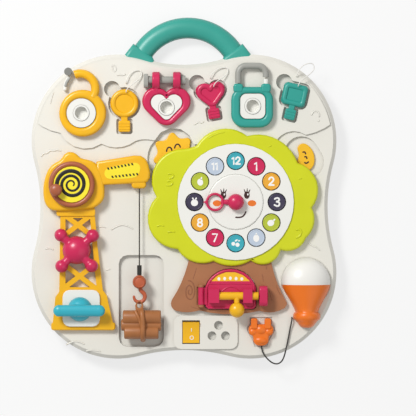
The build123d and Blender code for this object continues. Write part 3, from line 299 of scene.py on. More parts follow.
def carried(points, centre, turn=0):
    # an outline turned and carried to its place
    c, s = cos(radians(turn)), sin(radians(turn))
    return [(centre[0] + x * c - y * s, centre[1] + x * s + y * c) for x, y in points]


def polar(centre, radius, angle):
    return (centre[0] + radius * cos(radians(angle)), centre[1] + radius * sin(radians(angle)))


def arcRoute(centre, radius, start, sweep, steps):
    return [polar(centre, radius, start + sweep * step / steps) for step in range(steps + 1)]


def raised(points, height):
    return [(*point, height) for point in points]


def between(first, last, share):
    return first + (last - first) * share


def circlePoints(centre, radius, steps=48):
    return [polar(centre, radius, 360 / steps * step) for step in range(steps)]


def ovalPoints(centre, width, height, turn=0, steps=24):
    angles = [2 * pi * step / steps for step in range(steps)]
    return carried([(width / 2 * cos(angle), height / 2 * sin(angle)) for angle in angles], centre, turn)


def boxPoints(centre, width, height, corner, cuts=6):
    points = []
    for quarter, (side, rise) in enumerate(((1, 1), (-1, 1), (-1, -1), (1, -1))):
        middle = (side * (width / 2 - corner), rise * (height / 2 - corner))
        points += [polar(middle, corner, 90 * quarter + 90 * step / cuts) for step in range(cuts + 1)]
    return carried(points, centre)


def heartPoints(centre, halfWidth, form):
    # two round lobes drawn to one round tip
    lobe, across, rise, tip, drop = [share * halfWidth for share in form]
    lean = degrees(atan2(rise + drop, across))
    flank = lean - degrees(acos((tip - lobe) / sqrt(across ** 2 + (rise + drop) ** 2)))
    notch = degrees(atan2(sqrt(lobe ** 2 - across ** 2), -across))
    right = [polar((across, rise), lobe, notch + (flank - notch) * step / 20) for step in range(21)]
    right += [polar((0, -drop), tip, flank + (-90 - flank) * step / 8) for step in range(1, 9)]
    left = [(-x, y) for x, y in reversed(right[1:-1])]
    return carried(right + left, centre)


def mirrored(points, middle):
    # the other half of an outline about the line x = middle
    return [(middle + x, y) for x, y in points] + [(middle - x, y) for x, y in reversed(points)]


def arcPoints(start, middle, end, steps=10):
    # points along the arc through three places, without the last one
    (ax, ay), (bx, by), (cx, cy) = start, middle, end
    a, b, c = [x * x + y * y for x, y in (start, middle, end)]
    d = 2 * (ax * (by - cy) + bx * (cy - ay) + cx * (ay - by))
    ux = (a * (by - cy) + b * (cy - ay) + c * (ay - by)) / d
    uy = (a * (cx - bx) + b * (ax - cx) + c * (bx - ax)) / d
    radius = sqrt((ax - ux) ** 2 + (ay - uy) ** 2)
    first, halfway, last = [degrees(atan2(y - uy, x - ux)) for x, y in (start, middle, end)]
    sweep = (last - first) % 360
    if (halfway - first) % 360 > sweep:
        sweep -= 360
    return [polar((ux, uy), radius, first + sweep * step / steps) for step in range(steps)]


def chain(spans, end):
    stops = [start for start, middle in spans[1:]] + [end]
    points = []
    for (start, middle), stop in zip(spans, stops):
        points += arcPoints(start, middle, stop)
    return points


def curveOf(routes, form, closed, soft, steps, radii=None):
    # a curve through routes in millimetres; a soft one runs in smooth bends
    curve = bpy.data.curves.new("route", "CURVE")
    curve.dimensions = form
    for route in routes:
        spline = curve.splines.new("NURBS" if soft else "POLY")
        spline.points.add(len(route) - 1)
        for index, (point, at) in enumerate(zip(spline.points, route)):
            x, y, z = at if len(at) == 3 else (*at, 0)
            point.co = (x * mm, y * mm, z * mm, 1)
            point.radius = radii[index] if radii else 1
        spline.use_cyclic_u = closed
        if soft:
            spline.order_u = 3
            spline.use_endpoint_u = not closed
            spline.resolution_u = steps
    return curve


def flatShape(outlines, low, high, rounding=0.0, soft=False):
    # a flat moulding from closed outlines, the first one outside and the others holes in it
    rounding = min(rounding, (high - low) / 2 - 0.02)
    curve = curveOf(outlines, "2D", True, soft, 5)
    curve.fill_mode = "BOTH"
    curve.extrude = ((high - low) / 2 - rounding) * mm
    curve.bevel_depth = rounding * mm
    curve.bevel_resolution = 4
    curve.offset = -rounding * mm
    piece = addPiece("outline", curve)
    piece.location.z = (low + high) / 2 * mm
    piece = meshed(piece)
    startEdit(piece)
    turnOutward(0.000005)
    applyAll(piece)
    return evenFaces(smoothShade(piece, 42))


def sidewaysShape(outlines, x, width, rounding):
    # a flat moulding stood across the board; its outline runs through (-height, y)
    piece = flatShape(outlines, -width / 2, width / 2, rounding)
    piece.rotation_euler.y = pi / 2
    piece.location.x = x * mm
    return applyAll(piece)


def lathe(profile, centre, steps=48):
    # a turned shape from (radius, height) pairs about a standing axis
    mesh = bpy.data.meshes.new("lathe")
    mesh.from_pydata([((centre[0] + r) * mm, centre[1] * mm, z * mm) for r, z in profile],
                     [(step, step + 1) for step in range(len(profile) - 1)], [])
    piece = addPiece("lathe", mesh)
    startEdit(piece)
    bpy.ops.mesh.spin(steps=steps, angle=2 * pi, center=(centre[0] * mm, centre[1] * mm, 0), axis=(0, 0, 1))
    turnOutward(0.00001)
    return smoothShade(piece, 45)


def ball(centre, radius, stretch=(1, 1, 1)):
    bpy.ops.mesh.primitive_uv_sphere_add(segments=40, ring_count=24, radius=radius * mm,
                                         location=[c * mm for c in centre], scale=stretch)
    return smoothShade(applyAll(bpy.context.object), 60)


def tube(route, width, flat=1.0, height=None, closed=False, widths=None, soft=True, capped=True):
    # a round or flattened bead along a route; round ends where it is capped
    curve = curveOf([route], "3D", closed, soft, 5, [each / width for each in widths] if widths else None)
    curve.bevel_depth = width / 2 * mm
    curve.bevel_resolution = 4
    curve.use_fill_caps = not closed
    parts = [meshed(addPiece("tube", curve))]
    if capped and not closed:
        for at, share in ((route[0], 0), (route[-1], -1)):
            parts.append(ball(at if len(at) == 3 else (*at, 0), (widths[share] if widths else width) / 2))
    piece = joined(parts)
    if height is not None:
        piece.scale.z = flat
        piece.location.z = height * mm
        applyAll(piece)
    return smoothShade(piece, 60)


def cutBelow(piece, low):
    # nothing of the piece reaches under its seat
    startEdit(piece)
    bpy.ops.mesh.bisect(plane_co=(0, 0, low * mm), plane_no=(0, 0, 1), use_fill=True, clear_inner=True)
    endEdit()
    return piece


def blended(piece, voxel, turns=6):
    # several bodies run into one smooth skin
    skin = piece.modifiers.new("one_skin", "REMESH")
    skin.mode = "VOXEL"
    skin.voxel_size = voxel * mm
    smooth = piece.modifiers.new("flow", "SMOOTH")
    smooth.factor = 0.6
    smooth.iterations = turns
    applyAll(piece)
    pick(piece)
    bpy.ops.object.shade_smooth()
    return piece


def place(piece, name, body, finish):
    # a detail on a body, with its finish
    return dress(piece, name, body, paint[finish])


def standIn(piece, name, finish, node):
    # the node gives the body, and makes way for the piece
    place(piece, name, nodeBody[node], finish)
    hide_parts(node)
    return piece


# carrying handle

grip = {"centre": (4.2, 112.4), "radius": 57.0, "wide": 22.0, "thick": 16.0, "height": 11.4,
        "from": 14, "sweep": 152, "sleeveLow": 2.7, "sleeveTop": 20.4, "sleeveRounding": 4.5,
        "sleeve": [(-57.6, 40.2), (-37.6, 26.6), (-32.6, 16.0), (-46.0, 4.0), (-66.0, 18.0), (-68.0, 27.0)]}
gripRoute = arcRoute(grip["centre"], grip["radius"], grip["from"], grip["sweep"], 30)
gripParts = [tube(gripRoute, grip["wide"], grip["thick"] / grip["wide"], grip["height"], capped=False)]
for side in (-1, 1):
    outline = [(grip["centre"][0] - side * x, grip["centre"][1] + y) for x, y in grip["sleeve"]]
    gripParts.append(flatShape([outline], grip["sleeveLow"], grip["sleeveTop"], grip["sleeveRounding"]))
standIn(joined(gripParts), "handle_grip_bow", "handle", "handle")

# locks

plumpHeart = (0.57, 0.43, 0.264, 0.53, 0.21)
slimHeart = (0.51, 0.49, 0.32, 0.33, 0.45)
lockTop = 32.6

roundLock = {"centre": (-106.3, 78.9), "radius": 24.7, "plate": (-107.8, 79.2), "plateRadius": 15.4,
             "arch": (-108.9, 104.7), "archRadius": 15.9, "archWidth": 9.2, "archZ": 28.6}
body = flatShape([circlePoints(roundLock["centre"], roundLock["radius"], 72),
                  circlePoints(roundLock["plate"], roundLock["plateRadius"], 60)], cloudZ, lockTop, 3.4)
route = arcRoute(roundLock["arch"], roundLock["archRadius"], -34, 146, 18)
arch = tube(raised(route, roundLock["archZ"]), roundLock["archWidth"], capped=False)
standIn(joined([body, arch]), "round_lock_rim", "yellow", "round_lock_body")

heartLock = {"centre": (-18.4, 85.0), "half": 25.5, "plateHalf": 16.4, "earOffset": 10.9, "earWidth": 8.0,
             "bow": {"y": 113.2, "z": 29.3, "foot": 24.1, "outer": 9.2, "inner": 7.2}}
parts = [flatShape([heartPoints(heartLock["centre"], heartLock["half"], plumpHeart),
                    heartPoints(heartLock["centre"], heartLock["plateHalf"], slimHeart)], cloudZ, lockTop, 3.0)]
bow = heartLock["bow"]
middle = (-bow["z"], bow["y"])
outline = [(-bow["foot"], bow["y"] + bow["outer"])]
outline += arcRoute(middle, bow["outer"], 90, 180, 16)
outline += [(-bow["foot"], bow["y"] - bow["outer"]), (-bow["foot"], bow["y"] - bow["inner"])]
outline += arcRoute(middle, bow["inner"], 270, -180, 16)
outline.append((-bow["foot"], bow["y"] + bow["inner"]))
for side in (-1, 1):
    x = heartLock["centre"][0] + side * heartLock["earOffset"]
    parts.append(sidewaysShape([outline], x, heartLock["earWidth"], 1.2))
    parts.append(tube([(x, 101.0, 28.6), (x, 103.5, 29.2), (x, 105.6, 29.6)], heartLock["earWidth"], soft=False))
standIn(joined(parts), "heart_lock_rim", "magenta", "heart_lock_body")

squareLock = {"centre": (71.5, 85.2), "size": (44.2, 42.9), "corner": 14.0, "plate": (72.1, 86.3),
              "plateSize": 26.4, "plateCorner": 6.4, "posts": (56.9, 85.9), "postWidth": 10.3, "postTop": 33.4}
parts = [flatShape([boxPoints(squareLock["centre"], *squareLock["size"], squareLock["corner"]),
                    boxPoints(squareLock["plate"], squareLock["plateSize"], squareLock["plateSize"],
                              squareLock["plateCorner"])], cloudZ, lockTop, 3.2)]
for x in squareLock["posts"]:
    parts.append(flatShape([boxPoints((x, 105.2), squareLock["postWidth"], 9.6, 3.0)],
                           cloudZ, squareLock["postTop"], 2.2))
standIn(joined(parts), "square_lock_rim", "teal", "square_lock_body")

plate = {"low": 26.2, "top": 32.3, "coreHole": 8.7, "gap": 0.15}
size = squareLock["plateSize"] - 2 * plate["gap"]
plateOutlines = [
    (circlePoints(roundLock["plate"], roundLock["plateRadius"] - plate["gap"], 60), roundLock["plate"]),
    (heartPoints(heartLock["centre"], heartLock["plateHalf"] - plate["gap"], slimHeart), heartLock["centre"]),
    (boxPoints(squareLock["plate"], size, size, squareLock["plateCorner"]), squareLock["plate"])]
parts = [flatShape([outline, circlePoints(middle, plate["coreHole"], 48)], plate["low"], plate["top"])
         for outline, middle in plateOutlines]
parts.append(tube([(85.9, 108.0, 29.0), (85.9, 114.8, 29.0)], 5.6, soft=False, capped=False))
standIn(joined(parts), "pale_plates", "insert", "lock_faces")

gate = {"radius": 16.0, "width": 4.4, "z": 27.6, "from": 137, "sweep": 44, "cap": (-121.5, 122.6), "capRadius": 3.6,
        "shadeFrom": 138, "shadeSweep": 30, "shadeWidth": 3.2}
route = arcRoute(roundLock["arch"], gate["radius"], gate["from"], gate["sweep"], 10)
parts = [tube(raised(route, gate["z"]), gate["width"]),
         flatShape([circlePoints(gate["cap"], gate["capRadius"], 32)], 24.4, 31.0, 0.8)]
standIn(joined(parts), "gate_wire", "insert", "round_lock_gate")
# painted shade: a grey strip laid on the white gate where its underside falls in shade
route = arcRoute(roundLock["arch"], gate["radius"] - 0.4, gate["shadeFrom"], gate["shadeSweep"], 8)
place(tube(raised(route, gate["z"] + 1.4), gate["shadeWidth"]), "gate_painted_shade", "round_gate", "grey")

# the shackle swings on its left leg
shackle = {"left": 56.9, "right": 85.9, "top": 128.8, "low": 110.6, "end": 116.9, "bend": 8.0, "width": 6.6,
           "z": 29.0}
left, right, high = shackle["left"], shackle["right"], shackle["top"] - shackle["bend"]
route = [(left, shackle["low"]), (left, 116), (left, high)]
route += arcRoute((left + shackle["bend"], high), shackle["bend"], 180, -90, 5)[1:]
route += arcRoute((right - shackle["bend"], high), shackle["bend"], 90, -90, 5)
route += [(right, 119), (right, shackle["end"])]
standIn(tube(raised(route, shackle["z"]), shackle["width"], capped=False),
        "square_shackle_bow", "grey", "square_lock_shackle")
print("locks")

# keys

keys = {
    # where, tilt, outline and rim inset of the bow, then the bit's middle, width and height
    "round_key": {"place": (-62.6, 89.4), "tilt": 0, "finish": "yellow", "bow": circlePoints((0, 0), 15.0, 60),
                  "rim": circlePoints((0, 0), 12.0, 40), "neck": (-16, 7.0, 8), "bit": (-24, 12.6, 12)},
    "heart_key": {"place": (28.4, 98.4), "tilt": 9, "finish": "magenta", "bow": heartPoints((0, 0), 15.6, slimHeart),
                  "rim": heartPoints((0, 0), 12.3, slimHeart), "neck": (-12.5, 7.0, 8), "bit": (-20, 12.4, 10.8)},
    "square_key": {"place": (116.2, 98.4), "tilt": -13, "finish": "teal", "bow": boxPoints((0, 0), 26.0, 23.6, 4.5),
                   "rim": boxPoints((0, 0), 20.0, 17.6, 3.4), "neck": (-13.5, 6.6, 8), "bit": (-21, 11.4, 11.2)},
}
keyHeights = {"low": 20.7, "bow": 26.4, "rim": 25.5, "neck": 26.6, "bit": 27.4, "ribs": 27.3}
for keyName, key in keys.items():
    low = keyHeights["low"]
    parts = [flatShape([key["bow"]], low, keyHeights["bow"], 1.6),
             tube(key["rim"], 5.8, 0.9, keyHeights["rim"], closed=True)]
    for row in ("neck", "bit"):
        y, width, height = key[row]
        parts.append(flatShape([boxPoints((0, y), width, height, 1.8)], low, keyHeights[row], 1.2))
    for rib in (-3.0, 0.0, 3.0):
        ends = [(side * (width / 2 - 1.2), y + rib) for side in (-1, 1)]
        parts.append(tube(ends, 1.6, 0.8, keyHeights["ribs"]))
    piece = joined(parts)
    piece.rotation_euler.z = radians(key["tilt"])
    piece.location = (key["place"][0] * mm, key["place"][1] * mm, 0)
    applyAll(piece)
    standIn(piece, keyName + "_moulding", key["finish"], keyName)
print("keys")

# crane

cabin = [(-147.9, -0.7), (-146.3, 10.3), (-142.0, 21.3), (-135.9, 26.6), (-129.2, 29.9), (-126.4, 34.7),
         (-123.4, 37.6), (-119.2, 38.6), (-114.0, 37.4), (-109.0, 32.3), (-106.0, 31.1), (-100.5, 30.2),
         (-93.7, 27.8), (-88.9, 21.3), (-85.3, 12.0), (-83.5, 4.2), (-83.0, -6.9), (-84.8, -13.4),
         (-92.6, -20.2), (-100.4, -22.0), (-133.5, -24.6), (-142.6, -21.0), (-147.0, -13.0)]
standIn(flatShape([cabin], faceZ, 34.5, 3.4, soft=True), "crane_cabin_hood", "yellow", "crane_cabin")
boom = [(-92.0, 3.2), (-55.0, 4.8), (-42.5, 5.2), (-38.2, 7.0), (-35.8, 11.0), (-35.4, 17.0), (-37.2, 25.0),
        (-40.3, 31.1), (-45.4, 34.4), (-52.7, 34.6), (-92.0, 28.2)]
parts = [flatShape([boom], faceZ, 33.6, 3.2), flatShape([boxPoints((-47.4, 4.0), 15.6, 8.2, 3.6)], faceZ, 32.6, 2.4)]
standIn(joined(parts), "crane_boom_arm", "yellow", "crane_boom")
sign = spots((104.2, 172.6), (107.6, 167.6), (133.2, 162.6), (138.8, 163.4), (141.0, 168.0), (138.6, 175.2),
             (134.0, 178.2), (110.6, 179.6), (105.8, 177.4))
place(flatShape([sign], 33.5, 33.75, soft=True), "sign_field", "board", "inkYellow")
stripes = {"rows": (((108.6, 168.7), (132.4, 164.2)), ((112.8, 176.9), (137.4, 174.2))), "count": 8,
           "form": ((-1.3, -1.1), (0.4, -1.1), (1.3, 1.1), (-0.4, 1.1))}
parts = []
for (firstAcross, firstDown), (lastAcross, lastDown) in stripes["rows"]:
    for step in range(stripes["count"]):
        share = step / (stripes["count"] - 1)
        across, down = between(firstAcross, lastAcross, share), between(firstDown, lastDown, share)
        parts.append(flatShape([spots(*((across + x, down + y) for x, y in stripes["form"]))], 33.7, 33.9))
place(joined(parts), "sign_stripes", "board", "inkBlack")

crank = {"centre": (-117.5, 4.2), "knob": (-133.6, -1.6)}
wheel = lathe([(0, 34.8), (23.4, 34.8), (24.2, 35.8), (24.2, 38.8), (23.4, 40.8), (21.8, 41.6), (20.2, 41.2),
               (19.0, 40.2), (18.9, 39.4), (0, 39.4)], crank["centre"], 72)
knob = lathe([(0, 39.5), (5.4, 39.5), (5.0, 43.0), (5.2, 44.5), (6.2, 46.0), (6.5, 48.0), (5.9, 50.0), (4.4, 51.3),
              (2.2, 51.9), (0, 52.0)], crank["knob"], 36)
standIn(joined([wheel, knob]), "crank_handwheel", "wheelBrown", "crank_wheel")
spiral = {"turns": 2.65, "start": 205, "outer": 15.9, "inner": 2.2, "wide": 4.4, "thin": 1.5, "z": 41.2}
shares = [step / 72 for step in range(73)]
route = [polar(crank["centre"], between(spiral["outer"], spiral["inner"], share),
               spiral["start"] - 360 * spiral["turns"] * share) for share in shares]
widths = [between(spiral["wide"], spiral["thin"], share) for share in shares]
place(tube(route, spiral["wide"], 0.12, spiral["z"], widths=widths),
      "crank_spiral", "crank", "inkBlack")

hook = {"x": -46.8, "z": 29.6, "ballY": -98.0, "bendY": -113.5, "bend": 5.8}
hookBall = lathe([(0, 22.8), (4.6, 22.8), (6.6, 24.6), (7.1, 27.0), (7.1, 33.0), (6.5, 35.2), (5.4, 36.3),
                  (4.9, 36.0), (4.6, 35.6), (3.0, 36.0), (0, 36.2)], (hook["x"], hook["ballY"]), 40)
route = [(hook["x"] + 0.6, -103.6, hook["z"]), (hook["x"] + 1.4, -107.2, hook["z"])]
route += raised(arcRoute((hook["x"], hook["bendY"]), hook["bend"], 52, -232, 14), hook["z"])
hookRod = tube(route, 4.0, widths=[4.4] * 6 + [4.2] * 6 + [3.8, 3.4, 3.2, 3.0, 2.6])
standIn(joined([hookBall, hookRod]), "hook_and_ball", "hookBrown", "hook_block")

logs = [  # y, z, radius, left and right end
    (-135.3, 30.2, 7.7, -64.2, -24.2), (-150.8, 30.0, 7.2, -62.8, -26.6), (-143.2, 29.0, 6.2, -66.0, -23.8)]
parts = []
for y, z, radius, low, high in logs:
    bpy.ops.mesh.primitive_cylinder_add(vertices=32, radius=radius * mm, depth=(high - low) * mm,
                                        rotation=(0, pi / 2, 0), location=((low + high) / 2 * mm, y * mm, z * mm))
    log = applyAll(bpy.context.object)
    rounded(log, 1.6, 50)
    applyAll(log)
    parts.append(smoothShade(log, 50))
parts.append(tube([(-44.4, -127.4, 31), (-44.2, -128.6, 36.8), (-43.4, -136, 38.6), (-43.0, -143.5, 37.4),
                   (-43.2, -151, 38.2), (-43.2, -157.6, 34.2), (-43.0, -158.4, 29)], 5.6))
parts.append(tube([(-50.6, -129.0, 35.4), (-48.6, -133, 38.4), (-45.6, -140, 37.0), (-44, -147, 37)], 3.6))
parts.append(flatShape([ovalPoints((hook["x"], -124.0), 8.6, 12.4), ovalPoints((hook["x"], -122.2), 4.6, 6.4)],
                       24.6, 34.4, 0.8))
standIn(joined(parts), "log_load", "logBrown", "log_bundle")
print("crane")

fourArm = {"centre": (-112.6, -64.7), "low": 28.95, "reach": 22.8, "angles": (42, 136, 227, 314), "hub": 14.9,
           "arm": 9.4, "lobe": 6.9}
parts = [ball((*fourArm["centre"], 31.0), fourArm["hub"], (1, 1, 0.8))]
for angle in fourArm["angles"]:
    tip = polar(fourArm["centre"], fourArm["reach"], angle)
    parts.append(tube([(*fourArm["centre"], 34.0), (*tip, 34.2)], fourArm["arm"], soft=False))
    parts.append(ball((*tip, 34.2), fourArm["lobe"]))
knob = blended(joined(parts), 0.7, 8)
standIn(cutBelow(knob, fourArm["low"]), "four_arm_star", "magenta", "four_arm_knob")

wing = {"centre": (-109.6, -127.8), "low": 31.95, "length": 54.4, "width": 12.4, "dome": (-109.2, -126.6, 32.0),
        "domeRadius": 12.8}
reach = (wing["length"] - wing["width"]) / 2
ends = [(wing["centre"][0] + side * reach, wing["centre"][1]) for side in (-1, 1)]
parts = [ball(wing["dome"], wing["domeRadius"], (1, 1, 0.75)), tube(ends, wing["width"], 0.66, 40.8, soft=False)]
knob = blended(joined(parts), 0.7, 4)
standIn(cutBelow(knob, wing["low"]), "wing_grip", "cyan", "wing_knob")

# the tree with its clock

crown = [((13.3, 45.3), (38.9, 62.6)), ((66.3, 55.2), (100.4, 50.4)), ((119.3, 27.0), (139.5, 7.9)),
         ((134.4, -20.3), (137.0, -35.2)), ((128.1, -52.1), (116.8, -64.2)), ((101.6, -64.7), (87.3, -79.4)),
         ((70.1, -75.8), (51.5, -81.5)), ((30.9, -76.5), (10.0, -77.3)), ((-6.9, -63.9), (-36.6, -41.6)),
         ((-29.0, -8.9), (-31.0, 22.6)), ((0.6, 41.6), (7.2, 43.0))]
dial = (54.2, -14.2)
standIn(flatShape([chain(crown, crown[0][0]), circlePoints(dial, 59.3, 96)], faceZ, 30.0, 2.8),
        "tree_crown_relief", "lime", "tree_crown")

crownRelief = [  # swirls, dashes and a bump moulded into the crown
    ([(168.6, 174), (171.6, 173.2), (173.8, 175.4), (172.6, 178), (169.8, 178.4)], 2.0),
    ([(167.4, 181.4), (170.8, 180.2), (173, 182.6), (171, 185.6), (167.2, 185.4)], 2.0),
    ([(157.6, 226), (160.6, 224.4), (163.4, 225.6)], 1.9), ([(168.4, 232), (171.6, 230.8), (174.2, 231.8)], 1.9),
    ([(296, 229.6), (299, 228.4), (301.4, 231.6), (299.6, 236.4), (296.4, 237.4)], 2.2),
    ([(268.6, 146.4), (270.6, 145.8)], 1.6), ([(299, 178.8), (301, 178.4)], 1.6),
    ([(209, 138), (216, 133.4), (224, 132.2)], 1.4)]
parts = [tube(spots(*route), width * layout["step"], 0.8, 29.9) for route, width in crownRelief]
place(joined(parts), "crown_relief", "board", "lime")

motifs = {
    # for each hour, ovals: across, up, width, height, turn
    12: [(0, 0, 8.4, 8.4, 0)], 1: [(-2.4, 0, 4, 8, 20), (2.4, 0, 4, 8, -20)],
    2: [(0, 1.6, 8, 4, 0), (0, -2.4, 5, 4, 0)], 3: [(-2.6, 0, 4.4, 4.4, 0), (2.6, 0, 4.4, 4.4, 0)],
    4: [(-0.6, -0.4, 7.2, 6.4, 20), (3.0, 2.8, 3.0, 1.8, 50)], 5: [(0, -0.6, 6.4, 7.6, 0), (0, 4.0, 1.4, 2.4, 0)],
    6: [(-2.5, -0.6, 4.0, 4.0, 0), (1.9, -1.6, 4.4, 4.4, 0), (0.6, 2.9, 3.4, 1.8, 30), (3.6, 2.6, 2.0, 1.6, 0)],
    7: [(0, 0, 9, 5, 30)], 8: [(0, 2.4, 5, 5, 0), (0, -2.6, 6, 5, 0)],
    9: [(0, -0.8, 7.4, 7.0, 0), (-1.6, 3.6, 2.6, 1.6, 120), (1.6, 3.6, 2.6, 1.6, 60)],
    10: [(0.2, -0.8, 6.0, 7.2, 12), (1.4, 3.2, 1.6, 3.2, -15)], 11: [(0, 0, 5, 9, 0)]}
disc = {"showingMotif": (4, 5, 6, 9, 10), "ring": 43.2, "top": 30.76, "middle": 28.25, "rim": 8.1, "stroke": 1.75}
digits = {
    # open lines, soft bends and closed loops about the digit's middle
    "0": [("loop", (0, 0), 5.2, 8.2)], "1": [("line", [(-1.5, 2.7), (0.4, 4.1), (0.4, -4.1)])],
    "2": [("bend", [(-2.5, 2.2), (-1.8, 4.3), (1.4, 4.6), (2.8, 2.4), (1.6, -0.2), (-2.4, -3.8)]),
          ("line", [(-2.4, -4.0), (2.7, -4.0)])],
    "3": [("bend", [(-2.3, 3.4), (0, 4.9), (2.7, 3.8), (2.3, 0.8), (-0.2, 0.5)]),
          ("bend", [(-0.2, 0.3), (2.8, 0.0), (3.0, -3.6), (0.2, -5.0), (-2.6, -3.2)])],
    "4": [("line", [(1.2, -4.1), (1.2, 4.1), (-2.8, -1.6), (2.8, -1.6)])],
    "5": [("line", [(2.2, 4.0), (-1.8, 4.0), (-2.1, 0.4)]),
          ("bend", [(-2.1, 0.4), (1.2, 1.6), (3.2, -0.6), (2.4, -4.2), (-0.8, -4.6), (-2.6, -3.2)])],
    "6": [("loop", (0, -1.6), 5.0, 5.0), ("bend", [(-2.5, -1.6), (-2.2, 2.0), (1.0, 4.2)])],
    "7": [("line", [(-2.5, 4.0), (2.5, 4.0), (-0.9, -4.1)])],
    "8": [("loop", (0, 2.1), 4.2, 4.0), ("loop", (0, -2.1), 5.0, 4.4)],
    "9": [("loop", (0, 1.6), 5.0, 5.0), ("bend", [(2.5, 1.6), (2.2, -2.0), (-1.0, -4.2)])]}


def numberMark(text, centre, height):
    # the digits side by side, drawn with one flat stroke
    marks = []
    size = 0.84 if len(text) > 1 else 0.95
    pitch = 4.6 if text != "11" else 3.6
    for column, digit in enumerate(text):
        middle = (centre[0] + (column - (len(text) - 1) / 2) * pitch, centre[1])
        for kind, *form in digits[digit]:
            if kind == "loop":
                (x, y), width, tall = form
                route = ovalPoints((middle[0] + x * size, middle[1] + y * size), width * size, tall * size, steps=20)
            else:
                route = [(middle[0] + x * size, middle[1] + y * size) for x, y in form[0]]
            marks.append(tube(route, disc["stroke"], 0.1, height, closed=kind == "loop", soft=kind != "line"))
    return joined(marks)


def motifMark(ovals, centre, height):
    return joined([flatShape([ovalPoints((centre[0] + x, centre[1] + y), width, tall, turn)], height - 0.08,
                             height + 0.08) for x, y, width, tall, turn in ovals])


for hour in range(1, 13):
    centre = polar(dial, disc["ring"], 90 - 30 * hour)
    top, under = numberMark(str(hour), centre, disc["top"]), motifMark(motifs[hour], centre, disc["top"])
    if hour in disc["showingMotif"]:
        top, under = under, top
    pick(under)
    bpy.ops.transform.rotate(value=pi, orient_axis="Y", center_override=(centre[0] * mm, 0, disc["middle"] * mm))
    applyAll(under)
    place(joined([top, under]), f"disc_{hour:02d}_marks", f"disc_{hour:02d}", "inkWhite")
    rim = tube(circlePoints(centre, disc["rim"], 32), 1.3, 0.5, 30.7, closed=True)
    place(rim, f"disc_{hour:02d}_rim", f"disc_{hour:02d}", discPaint[hour])
print("clock numbers")

# the plain face on the middle of the dial
face = {"top": 32.72, "eyes": (223.2, 246.6), "eyeRow": 195.2, "cheeks": (216.9, 251.7), "cheekRow": 203.2,
        "lashes": ((-2.4, 6.2), (0.4, 7.2), (2.9, 6.0))}
top = face["top"]
parts = []
for across in face["eyes"]:
    parts.append(flatShape([ovalPoints(spot(across, face["eyeRow"]), 5.9, 7.6)], top, top + 0.1))
    for shift, lift in face["lashes"]:
        lash = spots((across + shift * 0.6, 192.6), (across + shift * 1.15, 195.4 - lift))
        parts.append(tube(lash, 1.5, 0.08, top + 0.05, widths=[1.6, 0.5], soft=False, capped=False))
place(joined(parts), "face_eyes", "board", "inkDark")
parts = [flatShape([ovalPoints(spot(across + 1.0, 194.4), 1.5, 2.2)], top + 0.1, top + 0.15)
         for across in face["eyes"]]
place(joined(parts), "face_glints", "board", "inkWhite")
parts = [flatShape([ovalPoints(spot(across, face["cheekRow"]), 9.0, 6.4)], top, top + 0.1)
         for across in face["cheeks"]]
place(joined(parts), "face_cheeks", "board", "inkOrange")
smile = tube(spots((235.8, 217.2), (240.4, 217.6), (244, 215.4), (245.6, 211.8)), 1.6, 0.1, top + 0.05)
place(smile, "face_smile", "board", "inkDark")

hand = {"low": 33.06, "ball": 8.6, "ring": (32.4, -14.2), "z": 34.9}
parts = [cutBelow(ball((*dial, 37.4), hand["ball"], (1, 1, 0.87)), hand["low"]),
         tube(circlePoints(hand["ring"], 8.4, 40), 2.7, 1.15, hand["z"], closed=True),
         tube([(38.6, -14.2), (41.0, -14.2), (47.5, -14.2), dial], 6.6, 0.5, hand["z"],
              widths=[3.6, 4.4, 6.2, 7.4], capped=False),
         flatShape([[(19.9, -14.2), (23.0, -12.6), (26.0, -9.6), (25.0, -12.0), (24.4, -14.2), (25.0, -16.4),
                     (26.0, -18.8), (23.0, -15.8)]], 33.3, 36.3, 0.5)]
standIn(joined(parts), "hand_and_nose", "magenta", "clock_hand")

# sun and moon

rocker = {"low": 19.25, "high": 21.75, "sun": (-10.2, 36.1), "reach": 24.4}
rayForm = [(-25.7, 0.72), (-15, 0.78), (-7, 0.91), (0, 0.95), (7, 0.91), (15, 0.78)]
sunPoints = [polar(rocker["sun"], rocker["reach"] * share, 45 + 360 / 7 * ray + turn)
             for ray in range(7) for turn, share in rayForm]
moonPoints = [(119.4, 43.4), (121.1, 46.2), (125.9, 47.9), (130.6, 45.8), (134.5, 41.5), (136.9, 36.2),
              (137.8, 30.5), (136.9, 24.7), (134.5, 21.0), (130.0, 17.6), (124.0, 17.0), (118.0, 19.6),
              (114.6, 24.0), (117.7, 27.6), (119.6, 30.0), (120.8, 33.8), (120.6, 37.6), (119.4, 41.0)]
parts = [flatShape([sunPoints], rocker["low"], rocker["high"], 1.1, soft=True),
         flatShape([moonPoints], rocker["low"], rocker["high"], 1.1, soft=True),
         flatShape([circlePoints(dial, 59.6, 72), circlePoints(dial, 55.4, 72)], rocker["low"], rocker["high"] - 0.5),
         ball((-9.4, 38.0, 20.6), 13.5, (1, 1, 0.085)), ball((130.0, 33.0, 20.6), 6.4, (0.9, 1.7, 0.18))]
standIn(joined(parts), "sun_moon_plump", "sunYellow", "sun_and_moon")
closedLids = [[(166.6, 151.2), (167.0, 148.4), (169.2, 147.0), (171.4, 148.2), (171.8, 150.2)],
              [(174.6, 148.0), (175.2, 145.2), (177.6, 143.9), (179.8, 145.2), (180.2, 147.0)],
              [(303.0, 152.2), (305.0, 151.2), (305.6, 153.8)], [(304.8, 156.8), (306.8, 156.2), (306.8, 158.4)],
              [(304.8, 162.6), (306.0, 164.2), (308.4, 162.0)]]
parts = [tube(spots(*route), 1.5, 0.12, 21.82) for route in closedLids]
place(joined(parts), "sun_moon_faces", "rocker", "inkDark")
print("sun and moon")

# trunk, door and bolt

